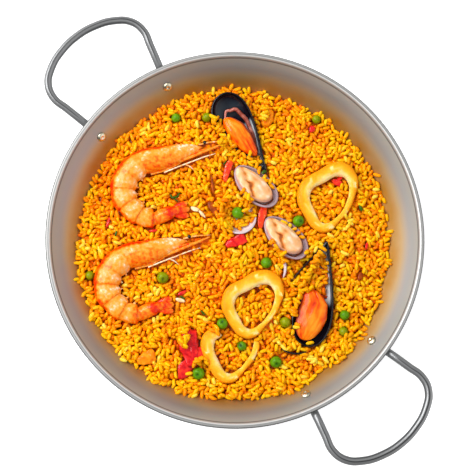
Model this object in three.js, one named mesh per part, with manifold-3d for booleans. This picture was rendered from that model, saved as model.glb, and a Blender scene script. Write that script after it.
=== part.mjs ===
// A paella in its two-handled steel pan: a bed of yellow rice with prawns, opened mussels and
// clams, squid rings, peas and pieces of red pepper and fish.
// Millimetres, +Z up. The origin is the middle of the pan's underside and the handles lie along X.
// Everything in the pan is laid out in one group, turned by the serving turn.

import * as THREE from "three";
import { mergeVertices } from "three/addons/utils/BufferGeometryUtils.js";
import Module from "manifold-3d";

// ---------------------------------------------------------------- driving dimensions

const GAP = 0.35;                 // clearance between pieces that touch

const pan = {
  rimRadius: 140,                 // over the rolled rim
  height: 42,
  sheet: 1.4,                     // steel thickness
  bead: 2,                        // radius of the rolled rim
  floorRadius: 104.2,             // where floor and wall would meet in a sharp corner, inside
  wallLean: 40,                   // degrees from upright
  cornerRadius: 12,               // between floor and wall, inside
  sides: 56,
};

const rivet = {
  headRadius: 3.6,
  headHeight: 1.3,
  shank: 1.9,                     // radius of the pin
  height: 28.5,                   // above the pan's underside, on the inner wall
  halfAngle: 14.4,                // degrees on each side of the handle's axis
  dome: [[0, 0.75], [0.3, 1], [0.75, 0.8], [1, 0]],       // half section of the head, as shares
  tail: [[0.9, 0], [0.6, 1], [0, 1]],                     // and of the flattened outer end
  sides: 8,
};

const handle = {
  wire: 3,                        // radius of the bent rod
  reach: 192,                     // pan centre to the middle of the grip
  grip: 42.2,                     // half the width across the widest part
  lift: 42,                       // height of the grip's centre line
  padHalf: 5.2,                   // half width of the riveted pad
  padTip: 2.9,                    // half width at its upper end
  padUp: 10,                      // how far the pad runs from the rivet towards the rim
  pad: 1.8,                       // thickness of the pad
  weldDown: 8.1,                  // where the rod meets the pad: distance above the rivet
  weldOut: 3.3,                   // and above the pad's inner face
  // The rod from a pad to the grip: shares of the reach, of the grip and of the lift.
  leg: [
    [0.735, 0.86, 0.855],
    [0.8, 0.935, 0.92],
    [0.86, 1, 0.96],
    [0.915, 0.93, 0.99],
    [0.96, 0.7, 1],
    [0.99, 0.36, 1],
  ],
  steps: 18,
  sides: 8,
};

const servingTurn = 51.5;         // degrees from the handles' axis to the layout of the food

const rice = {
  crown: 21.6,                    // height in the middle, above the pan's underside
  fall: 3.2,                      // how much lower it lies at the wall
  lean: 1.5,                      // how much higher it lies towards leanAngle
  leanAngle: 232,
  wallClearance: 0.5,
  rings: 25,                      // rings of relief between the middle and the wall
  underRing: 40,                  // corners of the smoother outline below
  grainRise: 1.5,                 // height of a grain's bump
  grainSink: 1.2,                 // depth of the gaps between them
  raisedShare: 0.3,               // how often a new grain begins along a ring
  jitter: 0.25,                   // how far a vertex strays, in cells
  seed: 20,
};

const colours = {
  steel: 0xa5a6a4,
  wire: 0xb9bbbc,
  rivet: 0xc9c2ae,
  rice: 0xf2ae17,
  prawn: 0xf0924a,
  musselShell: 0x17161b,
  musselMeat: 0xe8761f,
  clamShell: 0xb9a9b4,
  clamMeat: 0xedc68c,
  squid: 0xf3b73a,
  pea: 0x4f9a1c,
  olivePea: 0x8f9a1e,
  pepper: 0xdd3a1c,
  fish: 0xe58a2c,
};

// ---------------------------------------------------------------- helpers

const wasm = await Module();
wasm.setup();

const radians = THREE.MathUtils.degToRad;

function vec(x, y, z = 0) {
  return new THREE.Vector3(x, y, z);
}

function randomFrom(seed) {
  let state = seed;
  return () => {
    state = (state + 0x6d2b79f5) | 0;
    let t = Math.imul(state ^ (state >>> 15), 1 | state);
    t = (t + Math.imul(t ^ (t >>> 7), 61 | t)) ^ t;
    return ((t ^ (t >>> 14)) >>> 0) / 4294967296;
  };
}

// A new geometry with its shared vertices merged, before it is moved or reshaped.
function weld(fresh) {
  fresh.deleteAttribute("normal");
  fresh.deleteAttribute("uv");
  return mergeVertices(fresh, 1e-4);
}

function solid(welded) {
  const vertProperties = new Float32Array(welded.attributes.position.array);
  const triVerts = new Uint32Array(welded.index.array);
  return new wasm.Manifold(new wasm.Mesh({ numProp: 3, vertProperties, triVerts }));
}

function geometry(body) {
  const mesh = body.getMesh();
  const result = new THREE.BufferGeometry();
  result.setAttribute("position", new THREE.Float32BufferAttribute(mesh.vertProperties, 3));
  result.setIndex(new THREE.Uint32BufferAttribute(mesh.triVerts, 1));
  return result;
}

function join(...geometries) {
  return geometry(geometries.map(solid).reduce((a, b) => a.add(b)));
}

function biggest(body) {
  return body.decompose().reduce((a, b) => (a.volume() > b.volume() ? a : b));
}

// Moves every vertex of a geometry by a rule.
function reshape(shape, rule) {
  const position = shape.attributes.position;
  const p = new THREE.Vector3();
  for (let i = 0; i < position.count; i += 1) {
    p.fromBufferAttribute(position, i);
    rule(p);
    position.setXYZ(i, p.x, p.y, p.z);
  }
  return shape;
}

function lathe(profile, sides) {
  const points = profile.map(([r, z]) => new THREE.Vector2(r, z));
  return weld(new THREE.LatheGeometry(points, sides)).rotateX(Math.PI / 2);
}

function ball(radius, around, down) {
  return weld(new THREE.SphereGeometry(radius, around, down)).rotateX(Math.PI / 2);
}

function extrude(outline, options) {
  return weld(new THREE.ExtrudeGeometry(outline, { bevelEnabled: false, ...options }));
}

function arc(cx, cz, radius, from, to, steps) {
  return Array.from({ length: steps + 1 }, (_, i) => {
    const a = radians(from + ((to - from) * i) / steps);
    return [cx + radius * Math.cos(a), cz + radius * Math.sin(a)];
  });
}

// A rod of round section along a curve.
function rod(points, radius, steps, sides) {
  const section = new THREE.Shape();
  const corners = Array.from({ length: sides }, (_, i) => {
    const a = ((i + 0.5) / sides) * 2 * Math.PI;
    return new THREE.Vector2(radius * Math.cos(a), radius * Math.sin(a));
  });
  section.setFromPoints(corners);
  const extrudePath = new THREE.CatmullRomCurve3(points, false, "centripetal");
  return extrude(section, { steps, extrudePath });
}

// Lays a straight body that runs along +Y onto a flat curve, its width square to the curve.
function bend(shape, curve, length) {
  const lift = vec(0, 0, 1);
  return reshape(shape, (p) => {
    const t = THREE.MathUtils.clamp(p.y / length, 0, 1);
    const tangent = curve.getTangentAt(t);
    const side = tangent.clone().cross(lift);
    const at = curve.getPointAt(t).addScaledVector(side, p.x).addScaledVector(lift, p.z);
    at.addScaledVector(tangent, p.y - t * length);
    p.copy(at);
  });
}

const object = new THREE.Group();
const serving = new THREE.Group();
serving.rotation.z = radians(servingTurn);
object.add(serving);

function place(group, name, shape, colour, { roughness = 0.5, metalness = 0 } = {}) {
  const material = new THREE.MeshStandardMaterial({ color: colour, roughness, metalness });
  const mesh = new THREE.Mesh(shape, material);
  mesh.name = name;
  group.add(mesh);
  return mesh;
}

// ---------------------------------------------------------------- the pan

const beadCentre = { r: pan.rimRadius - pan.bead, z: pan.height - pan.bead };
const wallTurn = 90 - pan.wallLean;
const corner = {
  r: pan.floorRadius - pan.cornerRadius * Math.tan(radians(wallTurn / 2)),
  z: pan.sheet + pan.cornerRadius,
};

// Radius of the pan's inner wall at a height.
function wallRadius(z) {
  return pan.floorRadius + (z - pan.sheet) * Math.tan(radians(pan.wallLean));
}

// Section of the inner surface from the axis to a height on the wall, moved inwards.
function bowlProfile(top, inwards, steps) {
  const bend = arc(corner.r, corner.z, pan.cornerRadius - inwards, -90, -90 + wallTurn, steps);
  const wall = wallRadius(top) - inwards / Math.cos(radians(pan.wallLean));
  return [[0, pan.sheet + inwards], ...bend, [wall, top]];
}

function rivetFrame(angle) {
  const frame = new THREE.Matrix4().makeRotationZ(radians(angle));
  const seat = new THREE.Matrix4().makeTranslation(wallRadius(rivet.height), 0, rivet.height);
  const tip = new THREE.Matrix4().makeRotationY(radians(90 + pan.wallLean));
  return frame.multiply(seat).multiply(tip);
}

function makePan() {
  const wallTop = beadCentre.z - pan.bead * 0.8;
  const outside = bowlProfile(wallTop, -pan.sheet, 2);
  const bead = arc(beadCentre.r, beadCentre.z, pan.bead, -45, 180, 5);
  const inside = bowlProfile(wallTop, 0, 3).reverse();
  let body = solid(lathe([...outside, ...bead, ...inside], pan.sides));
  const [radius, through] = [rivet.shank + GAP, 4 * pan.sheet];
  const hole = lathe([[0, -through], [radius, -through], [radius, through], [0, through]], rivet.sides);
  for (const angle of rivetAngles()) {
    body = body.subtract(solid(hole.clone().applyMatrix4(rivetFrame(angle))));
  }
  return geometry(body);
}

function rivetAngles() {
  return [0, 180].flatMap((middle) => [middle - rivet.halfAngle, middle + rivet.halfAngle]);
}

// The rivet's own axis points outwards: the domed head is inside the pan, the flat one on the pad.
function makeRivet(angle) {
  const inside = -1.5 * GAP;
  const outside = pan.sheet + GAP + handle.pad + GAP;
  const dome = rivet.dome.map(([r, h]) => [r * rivet.headRadius, inside - h * rivet.headHeight]);
  const tail = rivet.tail.map(([r, h]) => [r * rivet.headRadius, outside + h * rivet.headHeight]);
  const profile = [...dome, [rivet.shank, inside], [rivet.shank, outside], ...tail];
  return lathe(profile, rivet.sides).applyMatrix4(rivetFrame(angle));
}

// A bent rod with a riveted pad at each end, for the handle on the +X side.
function makeHandle() {
  const padFrame = (side) => {
    const out = new THREE.Matrix4().makeTranslation(0, 0, pan.sheet + GAP);
    return rivetFrame(side * rivet.halfAngle).multiply(out);
  };
  const outline = new THREE.Shape();
  outline.absarc(0, 0, handle.padHalf, 0, Math.PI, false);
  outline.lineTo(-handle.padTip, -handle.padUp);
  outline.lineTo(handle.padTip, -handle.padUp);
  const hole = new THREE.Path();
  hole.absarc(0, 0, rivet.shank + GAP, 0, 2 * Math.PI, true);
  outline.holes.push(hole);
  const plate = extrude(outline, { depth: handle.pad, curveSegments: 4 });
  plate.rotateZ(-Math.PI / 2);
  const end = vec(-handle.weldDown, 0, handle.weldOut);
  const ends = [1, -1].map((side) => end.clone().applyMatrix4(padFrame(side)));
  const size = vec(handle.reach, handle.grip, handle.lift);
  const half = handle.leg.map((shares) => vec(...shares).multiply(size));
  const other = half.map(({ x, y, z }) => vec(x, -y, z)).reverse();
  const route = [ends[0], ...half, vec(handle.reach, 0, handle.lift), ...other, ends[1]];
  const wire = rod(route, handle.wire, handle.steps, handle.sides);
  return join(wire, ...[1, -1].map((side) => plate.clone().applyMatrix4(padFrame(side))));
}

// ---------------------------------------------------------------- the rice

// Smooth height of the rice at a place in the serving layout.
function riceLevel(x, y) {
  const edge = wallRadius(rice.crown - rice.fall);
  const out = Math.hypot(x, y) / edge;
  const along = x * Math.cos(radians(rice.leanAngle)) + y * Math.sin(radians(rice.leanAngle));
  return rice.crown - rice.fall * out * out + rice.lean * (along / edge);
}

const riceEdge = wallRadius(rice.crown - rice.fall) - rice.wallClearance;
const riceCell = riceEdge / rice.rings;

// Number of the first vertex of a ring, in a disc whose ring i has 6 i vertices.
function ringStart(i) {
  return i === 0 ? 0 : 1 + 3 * i * (i - 1);
}

// Triangles between two rings of vertices that follow each other round a circle.
function bridge(innerStart, innerCount, outerStart, outerCount) {
  const faces = [];
  let [a, b] = [0, 0];
  while (a < innerCount || b < outerCount) {
    const inner = innerStart + (a % innerCount);
    const outer = outerStart + (b % outerCount);
    const outerBehind = (b + 0.5) / outerCount <= (a + 0.5) / innerCount;
    const takeOuter = a === innerCount || (b < outerCount && outerBehind);
    if (takeOuter) {
      faces.push(inner, outer, outerStart + ((b + 1) % outerCount));
      b += 1;
    } else {
      faces.push(inner, outer, innerStart + ((a + 1) % innerCount));
      a += 1;
    }
  }
  return faces;
}

function distanceTo(line, x, y) {
  const at = new THREE.Vector3(x, y, 0);
  const near = new THREE.Vector3();
  let least = Infinity;
  for (let i = 0; i < Math.max(1, line.length - 1); i += 1) {
    const segment = new THREE.Line3(vec(...line[i]), vec(...line[Math.min(i + 1, line.length - 1)]));
    segment.closestPointToPoint(at, true, near);
    least = Math.min(least, near.distanceTo(at));
  }
  return least;
}

// The bed of rice: a disc with a bump or a sink at each vertex, in pairs that make bumps a grain
// long. Under the small pieces it is pressed down, and the large ones lie in rooms cut from it.
function makeRice(presses, cutters) {
  const random = randomFrom(rice.seed);
  const relief = [];
  const positions = [];
  const faces = [];
  for (let i = 0; i <= rice.rings; i += 1) {
    const count = Math.max(1, 6 * i);
    for (let k = 0; k < count; k += 1) {
      const follows = k > 0 && relief.at(-1) > 0 && relief.at(-2) <= 0;
      const raised = follows || (random() < rice.raisedShare && !(relief.at(-1) > 0));
      relief.push(raised ? rice.grainRise * (0.6 + 0.4 * random()) : -rice.grainSink * random());
      const spread = i === rice.rings ? 0 : rice.jitter;
      const angle = 2 * Math.PI * ((k + spread * (random() - 0.5)) / count);
      const out = riceCell * (i + spread * (random() - 0.5) * Math.min(i, 1));
      const [x, y] = [out * Math.cos(angle), out * Math.sin(angle)];
      let z = riceLevel(x, y) + relief.at(-1);
      for (const { line, reach, floor } of presses) {
        if (distanceTo(line, x, y) < reach) z = Math.min(z, floor - GAP);
      }
      const edge = wallRadius(z) - rice.wallClearance;
      const stretch = i === rice.rings ? edge / out : 1;
      positions.push(x * stretch, y * stretch, z);
    }
    if (i > 0) faces.push(...bridge(ringStart(i - 1), Math.max(1, 6 * (i - 1)), ringStart(i), count));
  }
  const under = bowlProfile(rice.crown / 3, rice.wallClearance, 2).reverse();
  let [start, count] = [ringStart(rice.rings), 6 * rice.rings];
  for (const [radius, z] of under) {
    const next = positions.length / 3;
    const corners = radius > 0 ? rice.underRing : 1;
    for (let k = 0; k < corners; k += 1) {
      const angle = (2 * Math.PI * k) / corners;
      positions.push(radius * Math.cos(angle), radius * Math.sin(angle), z);
    }
    faces.push(...bridge(start, count, next, corners));
    [start, count] = [next, corners];
  }
  const bed = new THREE.BufferGeometry();
  bed.setAttribute("position", new THREE.Float32BufferAttribute(positions, 3));
  bed.setIndex(faces);
  return geometry(biggest(cutters.reduce((body, cutter) => body.subtract(cutter), solid(bed))));
}

// ---------------------------------------------------------------- prawns

// Lengths along the body run from the tip of the head; half is half the body's depth there.
const prawn = {
  // The middle line of a curled body, from the head to the tail, about the middle of the curl.
  route: [
    [32, 28], [17, 23.5], [3, 19], [-16, 13.5], [-26.5, -3.5], [-21, -18], [-5, -26.5],
    [8, -22.2], [20, -18.6],
  ],
  head: [[0, 0.5], [5, 4.4], [14, 7.6], [26, 10.4], [38, 10.4], [43, 9.6]],
  plates: [
    { from: 43, to: 56, half: 10.6 },
    { from: 56, to: 67, half: 10.6 },
    { from: 67, to: 78, half: 10.2 },
    { from: 78, to: 89, half: 9.2 },
    { from: 89, to: 99, half: 7.8 },
    { from: 99, to: 112, half: 5.6 },
  ],
  tail: [[113, 4.4], [120, 2.8], [123, 0]],
  flatness: 0.74,                 // thickness lying down against its depth
  belly: 0.9,                     // depth of the inner side against the back
  eye: { radius: 2, at: [-2, 3.6, 2.6] },
  beak: { radius: 1.7, length: 17, turn: 7, at: [-5.5, 1.2, 2.2] },
  feelers: [
    [[-15, -6], [-6, -3], [2, -1.5], [9, -0.5]],
    [[-22, -12], [-14, -8.6], [-7, -7], [0, -6.4]],
  ],
  feeler: { radius: 0.9, lift: 1.6 },
  fan: { start: 0.96, turns: [-16, 6, 26], length: 17, width: 6.2, height: 2.6, out: 7.5 },
  // The hollow that it lies in, and the patch of it under the fan.
  room: [
    [-2, 0], [1, 7], [14, 10.5], [27, 13], [50, 13], [62, 12.8], [74, 12.8], [88, 11.5],
    [100, 9.9], [114, 7.1], [126, 0],
  ],
  fanRoom: { length: 26, width: 19, deep: 3, high: 4, out: 6 },
  sides: 8,
};

const prawnCurve = new THREE.CatmullRomCurve3(prawn.route.map(([x, y]) => vec(x, y)));
const fanBase = prawnCurve.getPointAt(prawn.fan.start);

// The body's section along its length: each plate swells behind the groove before it.
function prawnSection() {
  const plates = prawn.plates.flatMap(({ from, to, half }) => [
    [from + 0.4, half * 0.93],
    [from + (to - from) * 0.35, half],
    [to - 0.6, half * 0.97],
  ]);
  return [[-1, 0], ...prawn.head, ...plates, ...prawn.tail];
}

// A straight body of round rings, laid on its side along the curled route.
function curlPrawn(section) {
  const straight = lathe(section.map(([along, half]) => [half, along]), prawn.sides);
  reshape(straight.rotateX(-Math.PI / 2), (p) => {
    p.z *= prawn.flatness;
    if (p.x < 0) p.x *= prawn.belly;
  });
  return bend(straight, prawnCurve, section.at(-1)[0]);
}

function makePrawn() {
  const { eye, beak, fan, feeler } = prawn;
  const tip = prawnCurve.getPointAt(0);
  const atTip = (shape, [x, y, z]) => shape.translate(tip.x + x, tip.y + y, z);
  const eyeball = atTip(ball(eye.radius, 6, 4), eye.at);
  const spike = lathe([[0, 0], [beak.radius, 0], [0, beak.length]], 5).rotateY(Math.PI / 2);
  atTip(spike.rotateZ(radians(beak.turn)), beak.at);
  const leaves = fan.turns.map((turn) => {
    const leaf = ball(0.5, 6, 4).scale(fan.length, fan.width, fan.height).translate(fan.out, 0, 0);
    return leaf.rotateZ(radians(turn)).translate(fanBase.x, fanBase.y, turn * 0.03);
  });
  const feelers = prawn.feelers.map((line) => {
    const points = line.map(([x, y], i) => vec(tip.x + x, tip.y + y, feeler.lift + i * 0.2));
    return rod(points, feeler.radius, 4, 4);
  });
  return [curlPrawn(prawnSection()), eyeball, spike, ...leaves, ...feelers];
}

// The hollow that a prawn lies in: its body without plates, and one patch under its tail.
function makePrawnRoom() {
  const { length, width, deep, high, out } = prawn.fanRoom;
  const patch = lathe([[0, -deep], [0.5, -deep * 0.9], [0.5, high], [0, high]], 6).scale(length, width, 1);
  patch.rotateZ(radians(prawn.fan.turns[1])).translate(fanBase.x + out, fanBase.y + 1, 0);
  return [curlPrawn(prawn.room), patch];
}

// ---------------------------------------------------------------- shells and their meat

// Half sections of a valve, from its bottom to its edge and back along the inside, and of the room
// that it lies in. Each point is a share of the half width and of the depth.
const valveOutside = [[0, -1], [0.45, -0.93], [0.8, -0.62], [1, 0]];
const valveInside = [[0.93, 0], [0.72, -0.6], [0.4, -0.84], [0, -0.9]];
const valveRoom = [[0, -1], [0.5, -0.95], [0.85, -0.62], [1, 0]];
const valveWall = 1.3;            // how much thicker the bottom is than the inner section gives

// Makes a round bowl into a shell's outline, its hinge at -X and its open edge at z = 0.
function shellOutline({ length, width, taper, bow = 0 }) {
  return (p) => {
    const u = THREE.MathUtils.clamp(p.x, -1, 1);
    p.y *= (width / 2) * (1 - taper + taper * u) / (1 - taper * 0.55);
    p.y += bow * (1 - u * u);
    p.x *= length / 2;
  };
}

function makeValve(shell) {
  const outside = valveOutside.map(([r, z]) => [r, z * shell.depth]);
  const inside = valveInside.map(([r, z]) => [r, z && z * shell.depth + valveWall]);
  return reshape(lathe([...outside, ...inside], shell.sides), shellOutline(shell));
}

// The room that a half shell and what lies in it take up in the rice, open to the sky.
function makeValveRoom(shell) {
  const spare = 1.05 + 1.5 / shell.width;
  const room = { ...shell, length: shell.length * spare, width: shell.width * spare };
  const bowl = valveRoom.map(([r, z]) => [r, z * shell.depth * 1.05 - GAP]);
  return reshape(lathe([...bowl, [1, 30], [0, 30]], 12), shellOutline(room));
}

// A plump oval of meat with a soft fold along it.
function makeMeat({ length, width, height, taper = 0.15, fold = 0.18 }) {
  const lump = ball(1, 10, 6);
  return reshape(lump, (p) => {
    const dent = p.z > 0 ? 1 - fold * Math.exp(-((p.y / 0.3) ** 2)) : 1;
    p.set(p.x * (length / 2), p.y * (width / 2) * (1 + taper * p.x), p.z * (height / 2) * dent);
  });
}

// The rim of a buried half shell: a thin curved lip standing in the rice.
function makeLip({ radius, from, to, thick, height }) {
  const outline = new THREE.Shape();
  outline.absarc(0, 0, radius, radians(from), radians(to), false);
  outline.absarc(0, 0, radius - thick, radians(to), radians(from), true);
  return extrude(outline, { depth: height, curveSegments: 3 }).translate(0, 0, -height / 2);
}

// ---------------------------------------------------------------- squid rings

const squid = {
  outer: [
    [-22.6, 6.4], [-5.4, 21.5], [11.6, 27.6], [22, 18], [20.6, 0.9], [10.2, -16.8], [-3.5, -27.3],
    [-16.8, -16],
  ],
  inner: [
    [-12.6, 4], [-2.4, 11], [9.6, 16.2], [15.6, 11.4], [14, -1.2], [5.2, -14.2], [-4.2, -18.8],
    [-10.6, -9.5],
  ],
  height: 8,
  band: 10,                       // width of the flesh, at most
  round: 2,                       // of its edges
  outerSteps: 18,
  innerSteps: 15,
};

function flatLoop(points) {
  return new THREE.CatmullRomCurve3(points.map(([x, y]) => vec(x, y)), true, "centripetal");
}

function sample(loop, from, to, count) {
  return Array.from({ length: count + 1 }, (_, i) => {
    const p = loop.getPoint((((from + ((to - from) * i) / count) % 1) + 1) % 1);
    return new THREE.Vector2(p.x, p.y);
  });
}

// A whole ring, or the part of one from one share of its way round to another.
function squidOutline(from, to, outerSteps, innerSteps) {
  const whole = to - from >= 1;
  const outer = sample(flatLoop(squid.outer), from, to, outerSteps);
  const inner = sample(flatLoop(squid.inner), from, to, innerSteps);
  const outline = new THREE.Shape();
  if (whole) {
    outline.setFromPoints(outer.slice(0, -1));
    outline.holes.push(new THREE.Path().setFromPoints(inner.slice(0, -1).reverse()));
  } else {
    outline.setFromPoints([...outer, ...inner.reverse()]);
  }
  return outline;
}

function makeSquid(from = 0, to = 1) {
  const share = to - from;
  const steps = [squid.outerSteps * share, squid.innerSteps * share].map(Math.round);
  const outline = squidOutline(from, to, ...steps);
  const shape = extrude(outline, {
    depth: squid.height - 2 * squid.round,
    bevelEnabled: true,
    bevelThickness: squid.round,
    bevelSize: squid.round,
    bevelOffset: -squid.round,
    bevelSegments: 1,
  });
  return shape.translate(0, 0, squid.round - squid.height / 2);
}

// The middle line of a ring's flesh.
function squidMiddle(from = 0, to = 1) {
  const outer = sample(flatLoop(squid.outer), from, to, 16);
  const inner = sample(flatLoop(squid.inner), from, to, 16);
  return outer.map((p, i) => p.add(inner[i]).multiplyScalar(0.5).toArray());
}

// ---------------------------------------------------------------- small pieces

function makePea(radius) {
  return ball(radius, 7, 4);
}

// A rounded, slightly curved strip or dice of pepper or fish.
function makePiece({ length, width, height, bow = 0 }) {
  const square = (v) => Math.sign(v) * Math.abs(v) ** 0.7;
  return reshape(ball(1, 8, 4), (p) => {
    const across = square(p.y) * (width / 2) + bow * (1 - p.x * p.x);
    p.set(square(p.x) * (length / 2), across, square(p.z) * (height / 2));
  });
}

// ---------------------------------------------------------------- the layout of the food

const peaRadius = 4.4;
const peaProud = 0.5;             // how far a pea's middle lies above the rice, of its radius
const pieceProud = 0.2;           // and a piece's, of its height
const pressMargin = 0.78;         // of a cell of the rice's relief

// Places are in the serving layout; rise is how far a piece's middle lies above the rice's level.
// A pea's row gives its place, its size as a share of peaRadius and any further lift.
const layout = {
  prawns: [
    { x: -58, y: 42, rise: 2.6 },
    { x: -69.2, y: -30.1, rise: 2.6 },
  ],
  mussels: [
    {
      x: 5.5, y: 82, turn: 121, roll: -9, pitch: -4, rise: 4.2,
      shell: { length: 68, width: 33, depth: 11, taper: 0.4, bow: 1, sides: 16 },
      meat: { length: 35.5, width: 16.5, height: 10, along: -3, across: 1.5, rise: -1.6 },
    },
    {
      x: 61.5, y: -41.5, turn: -101, roll: 6, pitch: 3, rise: 3.4,
      shell: { length: 81, width: 34, depth: 12, taper: 0.4, bow: -0.5, sides: 16 },
      meat: { length: 38, width: 22, height: 8.6, along: 16, across: -1, rise: -0.8 },
      rice: { length: 24, width: 10.5, height: 4.4, along: -17, across: 0, rise: -1.2, fold: 0 },
    },
  ],
  clams: [
    {
      x: 15.6, y: 40.4,
      lower: { x: 1.6, y: 18.2 },
      rice: { length: 17, width: 15, height: 3.2, along: 0, across: 0, rise: -3.7, fold: 0 },
    },
    { x: 38.1, y: 1.2 },
  ],
  clamPose: { turn: -44, roll: -22, rise: 4.5 },
  clamLowerPose: { turn: -60, roll: -8, pitch: -9, rise: 2.2 },
  clamValve: { length: 41, width: 27, depth: 8.5, taper: 0.1, sides: 14 },
  clamMeat: { length: 32, width: 16.5, height: 7.5, along: -1, across: -0.6, rise: 0.6 },
  clamLower: { length: 31, width: 28, depth: 8, taper: 0.08, sides: 14 },
  lips: [
    {
      name: "clam_2_lower_valve",
      x: 23.4, y: -22.5, rise: 1.2, radius: 15.6, from: -28, to: 40, thick: 2.4, height: 5.5,
    },
    {
      name: "mussel_2_second_valve",
      x: 46, y: -66.5, rise: 0.8, radius: 20.5, from: 236, to: 292, thick: 1.8, height: 5,
    },
  ],
  squid: [
    { x: 70.4, y: 32.1, rise: 2.6 },
    { x: 12.8, y: -49.4, rise: 2.6, tall: 0.93 },
    { x: -2.4, y: -80.9, rise: 1.8, from: 0.47, to: 1.07 },
  ],
  peas: [
    [-45.4, 93.4, 0.8], [2, 19.5, 1.02, 2.7], [48, 14, 1], [23.2, -18.2, 0.95], [-9.6, -64, 0.95],
    [5, -80.5, 0.8], [-27.2, -100.6, 1.05], [30.3, -92.3, 1], [82.4, -57.4, 0.85],
  ],
  olives: [
    [-21.7, 93.9, 0.85], [-54.2, -29.5, 1], [37.4, -62.6, 0.9], [62.7, 93.5, 0.75], [81.4, -69.8, 0.8],
    [-108.9, -28, 0.8],
  ],
  peppers: [
    { x: -32, y: -82, turn: 98, length: 26, width: 13, height: 9, bow: 1.5 },
    { x: -5.6, y: 51.8, turn: 74, length: 17, width: 5, height: 5 },
    { x: 20.6, y: 16.4, turn: 80, length: 17, width: 6, height: 5 },
    { x: 0.5, y: -2.2, turn: 24, length: 16, width: 8, height: 6 },
    { x: 78, y: 44.2, turn: -24, length: 8, width: 4.4, height: 4 },
  ],
  fish: [
    { x: 24.6, y: 94, turn: 80, length: 13, width: 9, height: 8 },
    { x: -66.2, y: -89.3, turn: 20, length: 14, width: 10, height: 8 },
  ],
};

const cutters = [];
const presses = [];

// Where a piece lies: on the rice at a place, raised and turned.
function pose({ x, y, rise, turn = 0, roll = 0, pitch = 0 }) {
  const z = riceLevel(x, y) + rise;
  const spin = new THREE.Euler(radians(roll), radians(pitch), radians(turn), "ZYX");
  const turned = new THREE.Quaternion().setFromEuler(spin);
  return new THREE.Matrix4().compose(vec(x, y, z), turned, vec(1, 1, 1));
}

// Adds a piece to the serving layout.
function serve(name, at, shapes, colour, looks) {
  const parts = [shapes].flat().map((shape) => shape.applyMatrix4(at));
  place(serving, name, parts.length > 1 ? join(...parts) : parts[0], colour, looks);
}

// Takes room for a piece out of the rice.
function clear(at, shapes) {
  for (const shape of [shapes].flat()) cutters.push(solid(shape.applyMatrix4(at)));
}

// Presses the rice down along a line under a piece that is so wide and so high there.
function press(line, width, floor) {
  presses.push({ line, reach: width / 2 + riceCell * pressMargin, floor });
}

layout.prawns.forEach((where, i) => {
  const at = pose(where);
  serve(`prawn_${i + 1}`, at, makePrawn(), colours.prawn);
  clear(at, makePrawnRoom());
});

function serveShell(name, at, shell, colour, fillings) {
  serve(name, at, makeValve(shell), colour, { roughness: 0.25 });
  clear(at, makeValveRoom(shell));
  for (const [filling, size, tint] of fillings) {
    const seat = new THREE.Matrix4().makeTranslation(size.along, size.across, size.rise).premultiply(at);
    serve(filling, seat, makeMeat(size), tint);
  }
}

layout.mussels.forEach(({ shell, meat, rice: grains, ...where }, i) => {
  const at = pose(where);
  const fillings = [[`mussel_${i + 1}_meat`, meat, colours.musselMeat]];
  if (grains) fillings.push([`rice_in_mussel_${i + 1}`, grains, colours.rice]);
  serveShell(`mussel_${i + 1}_shell`, at, shell, colours.musselShell, fillings);
});

layout.clams.forEach(({ x, y, lower, rice: grains }, i) => {
  const at = pose({ x, y, ...layout.clamPose });
  const meat = [`clam_${i + 1}_meat`, layout.clamMeat, colours.clamMeat];
  serveShell(`clam_${i + 1}_valve`, at, layout.clamValve, colours.clamShell, [meat]);
  if (!lower) return;
  const seat = pose({ ...lower, ...layout.clamLowerPose });
  const filling = [`rice_in_clam_${i + 1}`, grains, colours.rice];
  serveShell(`clam_${i + 1}_lower_valve`, seat, layout.clamLower, colours.clamShell, [filling]);
});

layout.lips.forEach(({ name, x, y, rise, ...size }) => {
  const colour = name.startsWith("mussel") ? colours.musselShell : colours.clamShell;
  serve(name, pose({ x, y, rise }), makeLip(size), colour);
  const middle = arc(x, y, size.radius - size.thick / 2, size.from, size.to, 4);
  press(middle, size.thick * 2, riceLevel(x, y) + rise - size.height / 2);
});

layout.squid.forEach(({ x, y, rise, tall = 1, from, to }, i) => {
  serve(`squid_ring_${i + 1}`, pose({ x, y, rise }), makeSquid(from, to).scale(1, tall, 1), colours.squid);
  const middle = squidMiddle(from, to).map(([u, v]) => [x + u, y + v * tall]);
  press(middle, squid.band, riceLevel(x, y) + rise - squid.height / 2);
});

function servePeas(prefix, places, colour) {
  places.forEach(([x, y, size, lift = 0], i) => {
    const radius = peaRadius * size;
    const rise = radius * peaProud + lift;
    serve(`${prefix}_${i + 1}`, pose({ x, y, rise, turn: 40 * i }), makePea(radius), colour);
    press([[x, y]], radius, riceLevel(x, y) + rise - radius);
  });
}

servePeas("pea", layout.peas, colours.pea);
servePeas("olive_pea", layout.olives, colours.olivePea);

function servePieces(prefix, pieces, colour) {
  pieces.forEach(({ x, y, turn, ...size }, i) => {
    const rise = size.height * pieceProud;
    serve(`${prefix}_${i + 1}`, pose({ x, y, rise, turn }), makePiece(size), colour);
    const half = vec((size.length - size.width) / 2, 0).applyAxisAngle(vec(0, 0, 1), radians(turn));
    const line = [[x - half.x, y - half.y], [x + half.x, y + half.y]];
    press(line, size.width, riceLevel(x, y) + rise - size.height / 2);
  });
}

servePieces("pepper", layout.peppers, colours.pepper);
servePieces("fish", layout.fish, colours.fish);

// ---------------------------------------------------------------- assembly

const metal = { roughness: 0.35, metalness: 1 };

place(object, "pan", makePan(), colours.steel, metal);
["handle_right", "handle_left"].forEach((name, i) => {
  place(object, name, makeHandle(), colours.wire, metal).rotation.z = Math.PI * i;
});
rivetAngles().forEach((angle, i) => place(object, `rivet_${i + 1}`, makeRivet(angle), colours.rivet, metal));
place(serving, "rice", makeRice(presses, cutters), colours.rice, { roughness: 0.55 });

export default object;
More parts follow.
